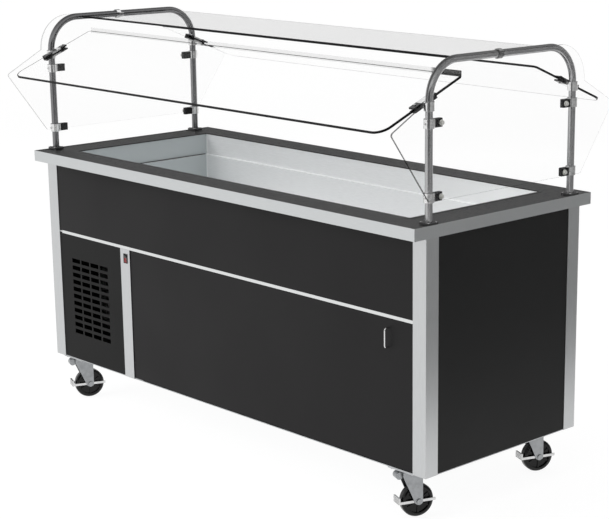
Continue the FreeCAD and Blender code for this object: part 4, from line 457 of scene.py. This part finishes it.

# %% [markdown]
# ## Clear guards
#
# The guards are clear acrylic sheet, and the top one has a light grey tint. A clear sheet is nearly
# invisible face on, but its polished edges look black. Bending light through real glass is one way to
# get that, but it draws ghosts of the tubes that a thin flat sheet doesn't show. So the faces are
# nearly see-through, with the gloss that Fresnel gives, and the black of the edges, a reflection, is
# painted on pieces of their own further down.

# %% Sheets
def clear_sheet(name, tone, cover):
    """Polished sheet: mostly see-through, with a faint tone and a faint unevenness."""
    material, tree, shader = blank_material(name)
    smear = stretched_noise(tree, (1, 1, 1), 2.5, 3.0)
    dark = [value * 0.9 for value in tone]
    tree.links.new(two_tones(tree, smear, dark, tone), shader.inputs["Base Color"])
    tree.links.new(spread(tree, smear, 0.03, 0.06), shader.inputs["Roughness"])
    shader.inputs["Specular IOR Level"].default_value = 0.5
    shader.inputs["Alpha"].default_value = cover
    return material


sheets = {
    "clear_sheet": clear_sheet("clear_sheet", (0.80, 0.81, 0.81), 0.015),
    "tinted_sheet": clear_sheet("tinted_sheet", (0.20, 0.20, 0.20), 0.13),
}
print("clear and tinted sheet")

# %% [markdown]
# ## Dressing the CAD nodes
#
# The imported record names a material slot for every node, so most finishes are given by that name. A
# few nodes need another one: the brushed grain of the posts and of the strip runs upwards, and the
# vent panel is a little darker than its neighbours.

# %% Finish every node
finishes = {**metals, **coatings, **sheets}
special = {"vent_panel": "vent_panel", "divider_strip": "post_steel"}
special.update({f"corner_post_{corner}": "post_steel" for corner in ("fl", "fr", "bl", "br")})
slots = {part["node"]: part["material_slot"] for part in frame["record"]["subparts"]}
for name, node in frame["nodes"].items():
    finish = finishes[special.get(name, slots[name])]
    node.data.materials.clear()
    node.data.materials.append(finish)
print("finished", len(frame["nodes"]), "nodes")

# %% [markdown]
# ## Painted dark reflections on the edges of the guards
#
# On the real sheets each edge is a flat polished band as wide as the sheet is thick. It looks black
# where it faces the viewer and disappears where it faces away. That black is a reflection, and here it
# is painted: the rims get a dark colour of their own. The band could be drawn by a mask in the
# material, but a copy of the sheet's own rim is exact. The copy is merged, its two large faces are
# found by their normal and inset a little, because the dark edge also shows through the glass beside
# it, and their inner parts are deleted. What is left is the rim, which shows on its outer side only.

# %% Rims with painted dark reflections
def rim_finish(name, tone, cover):
    """Polished edge of a clear sheet, with a painted dark reflection, seen from its outer side only."""
    material, tree, shader = blank_material(name)
    speck = stretched_noise(tree, (1, 1, 1), 90.0, 3.0)
    dark = [value * 0.7 for value in tone]
    tree.links.new(two_tones(tree, speck, dark, tone), shader.inputs["Base Color"])
    tree.links.new(spread(tree, speck, 0.35, 0.50), shader.inputs["Roughness"])
    shader.inputs["Specular IOR Level"].default_value = 0.10
    face = tree.nodes.new("ShaderNodeNewGeometry")
    outer = tree.nodes.new("ShaderNodeMath")
    outer.operation = "MULTIPLY_ADD"
    outer.inputs[1].default_value = -cover
    outer.inputs[2].default_value = cover
    tree.links.new(face.outputs["Backfacing"], outer.inputs[0])
    tree.links.new(outer.outputs[0], shader.inputs["Alpha"])
    return material


def to_edit():
    """Edit mode, for the active piece."""
    bpy.ops.object.mode_set(mode="EDIT")


def to_object():
    """Back to object mode."""
    bpy.ops.object.mode_set(mode="OBJECT")


def only(piece):
    """Makes a piece the only one selected, and the active one."""
    bpy.ops.object.select_all(action="DESELECT")
    piece.select_set(True)
    bpy.context.view_layer.objects.active = piece


def pick_faces(piece, test):
    """Selects the faces of the active piece that pass a test on centre and normal, in edit mode."""
    bpy.ops.mesh.select_mode(type="FACE")
    bpy.ops.mesh.select_all(action="DESELECT")
    edit = bmesh.from_edit_mesh(piece.data)
    chosen = [face for face in edit.faces if test(face.calc_center_median(), face.normal)]
    for face in chosen:
        face.select_set(True)
    bmesh.update_edit_mesh(piece.data)
    return len(chosen)


def sheet_rim(node, finish, border):
    """The narrow faces all round a flat sheet, and a border on both its large faces."""
    source = frame["nodes"][node]
    rim = bpy.data.objects.new(node + "_rim", source.data.copy())
    bpy.context.scene.collection.objects.link(rim)
    rim.data.materials.clear()
    rim.data.materials.append(finish)
    only(rim)
    to_edit()
    bpy.ops.mesh.select_all(action="SELECT")
    bpy.ops.mesh.remove_doubles(threshold=0.00001)
    edit = bmesh.from_edit_mesh(rim.data)
    broad = max(edit.faces, key=lambda face: face.calc_area()).normal.copy()
    pick_faces(rim, lambda centre, normal: abs(normal.dot(broad)) > 0.7)
    bpy.ops.mesh.inset(thickness=border, use_boundary=True)
    bpy.ops.mesh.delete(type="FACE")
    to_object()
    for vertex in rim.data.vertices:
        vertex.co += vertex.normal * 0.00002
    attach(rim, "cabinet")
    print(rim.name, len(rim.data.polygons), "faces")
    return rim


# Painted reflection: the rims are dark where a polished edge reflects dark surroundings; the faint and near
# rims are lighter and partly see-through.
dark_rim_reflection = rim_finish("dark_rim_reflection", (0.004, 0.004, 0.0045), 1.0)
faint_rim_reflection = rim_finish("faint_rim_reflection", (0.06, 0.06, 0.06), 0.36)
near_rim_reflection = rim_finish("near_rim_reflection", (0.02, 0.02, 0.02), 0.80)
RIMS = {"front_guard": (dark_rim_reflection, 0.0034), "back_guard": (dark_rim_reflection, 0.0030), "top_guard": (dark_rim_reflection, 0.0032),
        "end_guard_left": (faint_rim_reflection, 0.0004), "end_guard_right": (near_rim_reflection, 0.0005)}
for node, (finish, border) in RIMS.items():
    sheet_rim(node, finish, border)

# %% [markdown]
# ## A workshop of small helpers
#
# The small pieces below are modelled as by hand: a primitive is set down, shaped in edit mode, and
# given its finish. Each one then rides on the body that carries it, so that it moves when a door, a
# wheel or a knob moves. A repeated piece is modelled once and copied.

# %% Helpers for new pieces
def started(add, **settings):
    """Adds a primitive with nothing else selected, and returns it."""
    bpy.ops.object.select_all(action="DESELECT")
    add(**settings)
    return bpy.context.object


def settle(piece):
    """Moves a piece's place, turn and size into its mesh."""
    only(piece)
    bpy.ops.object.transform_apply(location=True, rotation=True, scale=True)
    return piece


def softened(piece, width, segments=2):
    """Small rounded edges, applied."""
    only(piece)
    bevel = piece.modifiers.new("edges", "BEVEL")
    bevel.width = width
    bevel.segments = segments
    bevel.limit_method = "ANGLE"
    bpy.ops.object.modifier_apply(modifier=bevel.name)
    return piece


def outward(piece):
    """Merges doubles and turns every face outwards."""
    only(piece)
    to_edit()
    bpy.ops.mesh.select_all(action="SELECT")
    bpy.ops.mesh.remove_doubles(threshold=0.000001)
    bpy.ops.mesh.normals_make_consistent(inside=False)
    to_object()
    return piece


def copied(piece, matrix):
    """A copy with its own mesh, set in place by a matrix."""
    twin = bpy.data.objects.new(piece.name, piece.data.copy())
    bpy.context.scene.collection.objects.link(twin)
    twin.data.transform(matrix)
    return twin


def joined(pieces):
    """One piece from several."""
    bpy.ops.object.select_all(action="DESELECT")
    for piece in pieces:
        piece.select_set(True)
    bpy.context.view_layer.objects.active = pieces[0]
    bpy.ops.object.join()
    return pieces[0]


def spread_out(piece, places):
    """Copies of a piece at each matrix, joined; the pattern piece itself is removed."""
    group = joined([copied(piece, place) for place in places])
    bpy.data.objects.remove(piece)
    return group


def dress(piece, name, finish, body):
    """Names a piece, gives it its finish, and lets it ride on a body."""
    piece.name = name
    piece.data.name = name
    piece.data.materials.clear()
    piece.data.materials.append(finishes[finish])
    only(piece)
    bpy.ops.object.shade_smooth_by_angle(angle=math.radians(35))
    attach(piece, body)
    print(name, len(piece.data.polygons), "faces")
    return piece


def facing(place, direction):
    """A matrix that sets a piece at a place, with its own Z along a direction."""
    turned = Vector((0, 0, 1)).rotation_difference(Vector(direction)).to_matrix().to_4x4()
    return Matrix.Translation(place) @ turned


print("helpers ready")

# %% [markdown]
# ## Plate bolts
#
# Each caster is held to the base pan by a square plate with four hexagon bolts. A bolt is a six-sided
# cylinder: its end is inset and pushed out a little for the chamfer that every bolt head has, and its
# root is extruded wider for the washer. Sixteen copies go under the four plates.

# %% Sixteen bolts
BOLT_RADIUS, HEAD_DEPTH, CHAMFER, WASHER = 0.0055, 0.0030, 0.0004, 0.0005
bolt = started(bpy.ops.mesh.primitive_cylinder_add, vertices=6, radius=BOLT_RADIUS, depth=HEAD_DEPTH,
               location=(0, 0, -WASHER - HEAD_DEPTH / 2))
to_edit()
pick_faces(bolt, lambda centre, normal: normal.z < -0.9)
bpy.ops.mesh.inset(thickness=2 * CHAMFER)
bpy.ops.transform.translate(value=(0, 0, -CHAMFER))
pick_faces(bolt, lambda centre, normal: normal.z > 0.9)
bpy.ops.mesh.extrude_region_move(TRANSFORM_OT_translate={"value": (0, 0, 0)})
bpy.ops.transform.resize(value=(1.22, 1.22, 1))
bpy.ops.mesh.extrude_region_move(TRANSFORM_OT_translate={"value": (0, 0, WASHER)})
to_object()
outward(settle(bolt))

CORNERS = {"fl": (-1, -1), "fr": (1, -1), "bl": (-1, 1), "br": (1, 1)}
WHEEL_X, WHEEL_Y, WHEEL_RADIUS = 0.820, 0.270, 0.0508
HEADING, TRAIL = math.radians(21.7), 0.020
PLATE_UNDERSIDE, BOLT_X, BOLT_Y = 0.149, 0.041, 0.031
bolt_places = []
for across, along in CORNERS.values():
    axis_x = across * WHEEL_X - TRAIL * math.sin(HEADING)
    axis_y = along * WHEEL_Y - TRAIL * math.cos(HEADING)
    for x in (-BOLT_X, BOLT_X):
        for y in (-BOLT_Y, BOLT_Y):
            bolt_places.append(Matrix.Translation((axis_x + x, axis_y + y, PLATE_UNDERSIDE)))
dress(spread_out(bolt, bolt_places), "plate_bolts", "zinc_sheet", "cabinet")

# %% [markdown]
# ## Ribs in the wheels
#
# The casters have moulded wheels: a hollow face with ribs from the hub to the rim. A rib starts as a
# block that lies in the hollow. Its outer end is widened where it runs into the rim, and its edges are
# rounded. Six go round each face. They turn with the wheel, so they ride on its body.

# %% Wheel ribs
HOLLOW_FLOOR, RIB_HEIGHT, RIB_WIDTH, RIB_LENGTH = 0.011, 0.0028, 0.0036, 0.0235
RIB_MIDDLE, SUNK = 0.0265, 0.0003
rib = started(bpy.ops.mesh.primitive_cube_add, size=1,
              location=(HOLLOW_FLOOR + RIB_HEIGHT / 2 - SUNK, 0, RIB_MIDDLE),
              scale=(RIB_HEIGHT, RIB_WIDTH, RIB_LENGTH))
settle(rib)
to_edit()
pick_faces(rib, lambda centre, normal: normal.z > 0.9)
bpy.ops.transform.resize(value=(1, 2.0, 1))
pick_faces(rib, lambda centre, normal: normal.x > 0.9)
bpy.ops.mesh.inset(thickness=0.0006)
bpy.ops.transform.translate(value=(0.0004, 0, 0))
to_object()
softened(rib, 0.0004)
turns = [Matrix.Rotation(math.radians(60 * step), 4, "X") for step in range(6)]
faces = [Matrix.Identity(4), Matrix.Rotation(math.pi, 4, "Z")]
ribs = spread_out(rib, [face @ turn_step for face in faces for turn_step in turns])
heading = Matrix.Rotation(-HEADING, 4, "Z")
for corner, (across, along) in CORNERS.items():
    parked = Matrix.Translation((across * WHEEL_X, along * WHEEL_Y, WHEEL_RADIUS)) @ heading
    dress(copied(ribs, parked), f"wheel_ribs_{corner}", "wheel_black", f"wheel_{corner}")
bpy.data.objects.remove(ribs)

# %% [markdown]
# ## Screws of the clamps
#
# Two socket-head screws close each guard clamp on its sheet, and one stands in every end clamp's ring,
# where it grips the post. The head is a short cylinder: one inset, raised a little, rounds its rim, a
# second one marks the socket, and the socket is extruded down.

# %% Socket screws
def socket_screw(radius, height):
    """A socket-head screw, with its seat at the origin and its head along +Z."""
    screw = started(bpy.ops.mesh.primitive_cylinder_add, vertices=18, radius=radius, depth=height,
                    location=(0, 0, height / 2))
    settle(screw)
    to_edit()
    pick_faces(screw, lambda centre, normal: normal.z > 0.9)
    bpy.ops.mesh.inset(thickness=radius * 0.22)
    bpy.ops.transform.translate(value=(0, 0, height * 0.12))
    bpy.ops.mesh.inset(thickness=radius * 0.24)
    bpy.ops.mesh.extrude_region_move(TRANSFORM_OT_translate={"value": (0, 0, -height * 0.6)})
    to_object()
    return outward(screw)


guard_low, guard_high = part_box("front_guard")
SLOPE = math.atan2(guard_high.z - guard_low.z, guard_high.y - guard_low.y)
CLAMP_X, POST_X, POST_Y, CLAMP_Z = 0.877, 0.901, 0.305, 1.223
JAW_HALF, SCREW_OFF, RING_REACH = 0.0083, 0.030, 0.0153
END_CLAMP_HEIGHTS = (0.963, 1.168)
places = []
for side in (-1, 1):
    for row in (-1, 1):
        run = Vector((0, -row * math.cos(SLOPE), math.sin(SLOPE)))
        up = Vector((0, row * math.sin(SLOPE), math.cos(SLOPE)))
        middle = Vector((side * CLAMP_X, row * POST_Y, CLAMP_Z))
        for step in (-SCREW_OFF, SCREW_OFF):
            places.append(facing(middle + run * step + up * JAW_HALF, up))
            places.append(facing(middle + run * step - up * JAW_HALF, -up))
        for height in END_CLAMP_HEIGHTS:
            places.append(facing((side * POST_X, row * (POST_Y + RING_REACH), height), (0, row, 0)))
screws = spread_out(socket_screw(0.0036, 0.0030), places)
dress(screws, "clamp_screws", "bright_screw", "cabinet")

# %% [markdown]
# The back panel comes off for service, so it is held by ten larger screws of the same kind, in a row
# along its top and another along its bottom.

# %% Back panel screws
PANEL_BACK = 0.3295
places = [facing((x, PANEL_BACK, z), (0, 1, 0)) for x in (-0.85, -0.43, 0.0, 0.43, 0.85)
          for z in (0.172, 0.868)]
screws = spread_out(socket_screw(0.0045, 0.0022), places)
dress(screws, "back_panel_screws", "bright_screw", "cabinet")

# %% [markdown]
# ## Spacers behind the end guards
#
# The end guards stand a few millimetres off the clamps' jaws. What holds them there can't be made out,
# so it is guessed to be a short pale spacer at each jaw. A spacer is a cylinder with an extruded collar
# at each end.

# %% Spacers
JAW_FACE, GUARD_FACE = 0.909, 0.9168
SPACER_RADIUS, COLLAR, SPACER_Y = 0.0045, 0.0015, 0.266
spacer = started(bpy.ops.mesh.primitive_cylinder_add, vertices=24, radius=SPACER_RADIUS,
                 depth=GUARD_FACE - JAW_FACE - 2 * COLLAR, location=(0, 0, (GUARD_FACE - JAW_FACE) / 2))
settle(spacer)
to_edit()
for end in (-1, 1):
    pick_faces(spacer, lambda centre, normal: normal.z * end > 0.9)
    bpy.ops.mesh.extrude_region_move(TRANSFORM_OT_translate={"value": (0, 0, 0)})
    bpy.ops.transform.resize(value=(1.35, 1.35, 1))
    bpy.ops.mesh.extrude_region_move(TRANSFORM_OT_translate={"value": (0, 0, end * COLLAR)})
to_object()
outward(spacer)
softened(spacer, 0.0003)
places = [facing((side * JAW_FACE, row * SPACER_Y, height), (side, 0, 0))
          for side in (-1, 1) for row in (-1, 1) for height in END_CLAMP_HEIGHTS]
dress(spread_out(spacer, places), "guard_spacers", "nylon", "cabinet")

# %% [markdown]
# ## Sealing beads
#
# A dark bead of sealant closes the joint between the deck and the well, and a thinner one lies
# between the deck and its bright band. Each draws the fine dark line that the photograph shows beside
# the deck. A bead is a flat rectangle with beveled corners, whose middle is inset and deleted; what
# stays is extruded and its edges are rounded.

# %% Beads round the deck
def bead(name, half_x, half_y, corner, width, low, high):
    """A flat frame of sealant, from its outer half sizes."""
    frame_piece = started(bpy.ops.mesh.primitive_plane_add, size=2, location=(0, 0, low))
    settle(frame_piece)
    to_edit()
    bpy.ops.mesh.select_all(action="SELECT")
    bpy.ops.transform.resize(value=(half_x, half_y, 1))
    bpy.ops.mesh.select_all(action="SELECT")
    bpy.ops.mesh.bevel(offset=corner, segments=5, affect="VERTICES")
    pick_faces(frame_piece, lambda centre, normal: True)
    bpy.ops.mesh.inset(thickness=width)
    bpy.ops.mesh.delete(type="FACE")
    bpy.ops.mesh.select_all(action="SELECT")
    bpy.ops.mesh.extrude_region_move(TRANSFORM_OT_translate={"value": (0, 0, high - low)})
    to_object()
    outward(frame_piece)
    softened(frame_piece, min(width, high - low) * 0.3)
    return dress(frame_piece, name, "seal_rubber", "cabinet")


bead("well_seal", 0.8052, 0.2822, 0.006, 0.0022, 0.8862, 0.8892)
bead("deck_seal", 0.9196, 0.3796, 0.002, 0.0016, 0.8885, 0.8893)

# %% [markdown]
# ## Strips of painted shade on the pan ledge
#
# The photograph shows a thin dark line on the well's left wall, at the height of the ledge, where the
# ledge makes a shadow line. That shade is painted by a dark strip at each end of the ledge, drawn as
# rubber that keeps the rims of the food pans from rattling on steel. A strip is a long block with its
# ends tapered in and its edges rounded.

# %% Ledge strips of painted shade
# Painted shade: dark strips lie where the ledge makes its shadow line.
STRIP_X, STRIP_Z = 0.7998, 0.81415
STRIP_WIDTH, STRIP_LENGTH, STRIP_HEIGHT = 0.0070, 0.540, 0.0022
shade_strip_piece = started(bpy.ops.mesh.primitive_cube_add, size=1, location=(0, 0, STRIP_Z),
                      scale=(STRIP_WIDTH, STRIP_LENGTH, STRIP_HEIGHT))
settle(shade_strip_piece)
to_edit()
for end in (-1, 1):
    pick_faces(shade_strip_piece, lambda centre, normal: normal.y * end > 0.9)
    bpy.ops.transform.resize(value=(0.6, 1, 0.7))
to_object()
softened(shade_strip_piece, 0.0005)
places = [Matrix.Translation((side * STRIP_X, 0, 0)) for side in (-1, 1)]
dress(spread_out(shade_strip_piece, places), "ledge_shade_strips", "seal_rubber", "cabinet")

# %% [markdown]
# ## Polished band of the front guard
#
# The photograph shows a soft band along the front guard's upper edge, pale over most of its length and
# dark beside the right arch. It is read here as a narrow upright lip that stiffens the sheet, but a
# reflection could look the same. The lip is a thin slab with tapered ends. Its finish gets denser along
# X, only because the photograph does: the dark end beside the right arch is a painted reflection.

# %% Band on the front guard
band_finish, tree, shader = blank_material("polished_band")
smoke = two_tones(tree, stretched_noise(tree, (1, 1, 1), 60), (0.05, 0.05, 0.05), (0.09, 0.09, 0.09))
tree.links.new(smoke, shader.inputs["Base Color"])
shader.inputs["Roughness"].default_value = 0.5
shader.inputs["Specular IOR Level"].default_value = 0.1
# Painted reflection: past x = 0.77 m, beside the right arch, the band is much less see-through and so
# darker.
dark_reflection_end = step_up(band_finish, place_on(band_finish, "X"), 0.76, 0.78)
cover = tree.nodes.new("ShaderNodeMath")
cover.operation = "MULTIPLY_ADD"
PALE_COVER, DARK_COVER = 0.08, 0.80
cover.inputs[1].default_value = DARK_COVER - PALE_COVER
cover.inputs[2].default_value = PALE_COVER
tree.links.new(dark_reflection_end, cover.inputs[0])
tree.links.new(cover.outputs[0], shader.inputs["Alpha"])
finishes["polished_band"] = band_finish
BAND_HEIGHT, BAND_HALF, BAND_SHEET = 0.022, 0.879, 0.0012
BAND_Y, BAND_Z = -0.1536, 1.2890
band = started(bpy.ops.mesh.primitive_cube_add, size=1, location=(0, BAND_Y, BAND_Z),
               scale=(2 * BAND_HALF, BAND_SHEET, BAND_HEIGHT))
settle(band)
to_edit()
for end in (-1, 1):
    pick_faces(band, lambda centre, normal: normal.x * end > 0.9)
    bpy.ops.transform.resize(value=(1, 1, 0.8))
to_object()
softened(band, 0.0003)
dress(band, "front_guard_band", "polished_band", "cabinet")

# %% [markdown]
# ## Strainer in the drain
#
# Food scraps are kept out of the drain by a small strainer. It is made of two flat rings and three
# crossing bars. A ring is a cylinder whose ends are inset and then bridged through the middle.

# %% Strainer
def flat_ring(outer, inner, thickness, segments):
    """A ring in the XY plane, centred on the origin."""
    ring = started(bpy.ops.mesh.primitive_cylinder_add, vertices=segments, radius=outer, depth=thickness)
    to_edit()
    pick_faces(ring, lambda centre, normal: abs(normal.z) > 0.9)
    bpy.ops.mesh.inset(thickness=outer - inner, use_individual=True)
    bpy.ops.mesh.bridge_edge_loops()
    to_object()
    return outward(ring)


RING_SHEET = 0.0018
rings = [flat_ring(0.0215, 0.0185, RING_SHEET, 40), flat_ring(0.0120, 0.0098, RING_SHEET, 32)]
bars = []
for step in range(3):
    bar = started(bpy.ops.mesh.primitive_cube_add, size=1, scale=(0.0385, 0.0022, 0.0014))
    settle(bar)
    softened(bar, 0.0004)
    bars.append(copied(bar, Matrix.Rotation(math.radians(60 * step), 4, "Z")))
    bpy.data.objects.remove(bar)
strainer = joined(rings + bars)
DRAIN_X, DRAIN_Y, STRAINER_Z = -0.547, 0.160, 0.6889
strainer.data.transform(Matrix.Translation((DRAIN_X, DRAIN_Y, STRAINER_Z)))
dress(softened(strainer, 0.0002), "well_strainer", "bright_screw", "cabinet")

# %% [markdown]
# ## Dial of the thermostat
#
# The knob at the back sets the cold. Round it the panel carries a printed scale with numbers, and the
# knob has a raised pointer. The marks are thin tapered blocks, and the numbers are text, made a mesh.
# The pointer rides on the knob and the scale stays on the cabinet.

# %% Dial
DIAL_X, DIAL_Z = -0.696, 0.540
MARK_RADIUS, NUMBER_RADIUS, PRINT_HALF = 0.0245, 0.0315, 0.0001
FIRST_ANGLE, ANGLE_STEP, MARKS = -135, 45, 7
FROM_BEHIND = Matrix(((-1, 0, 0, 0), (0, 0, 1, 0), (0, 1, 0, 0), (0, 0, 0, 1)))


def dial_place(radius, degrees, depth):
    """A matrix for a mark at an angle from the top, clockwise as seen from behind."""
    angle = math.radians(degrees)
    centre = Vector((DIAL_X - radius * math.sin(angle), depth, DIAL_Z + radius * math.cos(angle)))
    return Matrix.Translation(centre) @ FROM_BEHIND


mark = started(bpy.ops.mesh.primitive_cube_add, size=1, location=(0, 0, PRINT_HALF),
               scale=(0.0007, 0.0040, 0.0003))
settle(mark)
to_edit()
pick_faces(mark, lambda centre, normal: normal.y > 0.9)
bpy.ops.transform.resize(value=(1.8, 1, 1))
to_object()
angles = [FIRST_ANGLE + ANGLE_STEP * step for step in range(MARKS)]
places = [dial_place(MARK_RADIUS, angle, PANEL_BACK) @ Matrix.Rotation(-math.radians(angle), 4, "Z")
          for angle in angles]
dress(spread_out(mark, places), "dial_marks", "dial_print", "cabinet")
digits = []
for number, angle in enumerate(angles, start=1):
    digit = started(bpy.ops.object.text_add)
    digit.data.body = str(number)
    digit.data.size = 0.0068
    digit.data.extrude = PRINT_HALF
    digit.data.align_x = "CENTER"
    digit.data.align_y = "CENTER"
    bpy.ops.object.convert(target="MESH")
    digit = bpy.context.object
    digit.data.transform(dial_place(NUMBER_RADIUS, angle, PANEL_BACK + PRINT_HALF))
    digits.append(digit)
dress(joined(digits), "dial_numbers", "dial_print", "cabinet")
knob_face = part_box("thermostat_knob")[1].y
pointer = started(bpy.ops.mesh.primitive_cube_add, size=1, location=(0, 0.0085, 0),
                  scale=(0.0016, 0.0105, 0.0006))
settle(pointer)
to_edit()
pick_faces(pointer, lambda centre, normal: normal.y > 0.9)
bpy.ops.transform.resize(value=(0.35, 1, 1))
to_object()
softened(pointer, 0.00015)
pointer.data.transform(dial_place(0, 0, knob_face) @ Matrix.Rotation(math.radians(FIRST_ANGLE), 4, "Z"))
dress(pointer, "knob_pointer", "dial_print", "knob")

# %% [markdown]
# ## Finish
#
# The looks must not change the size that the CAD gives.

# %% Finish
print("done")
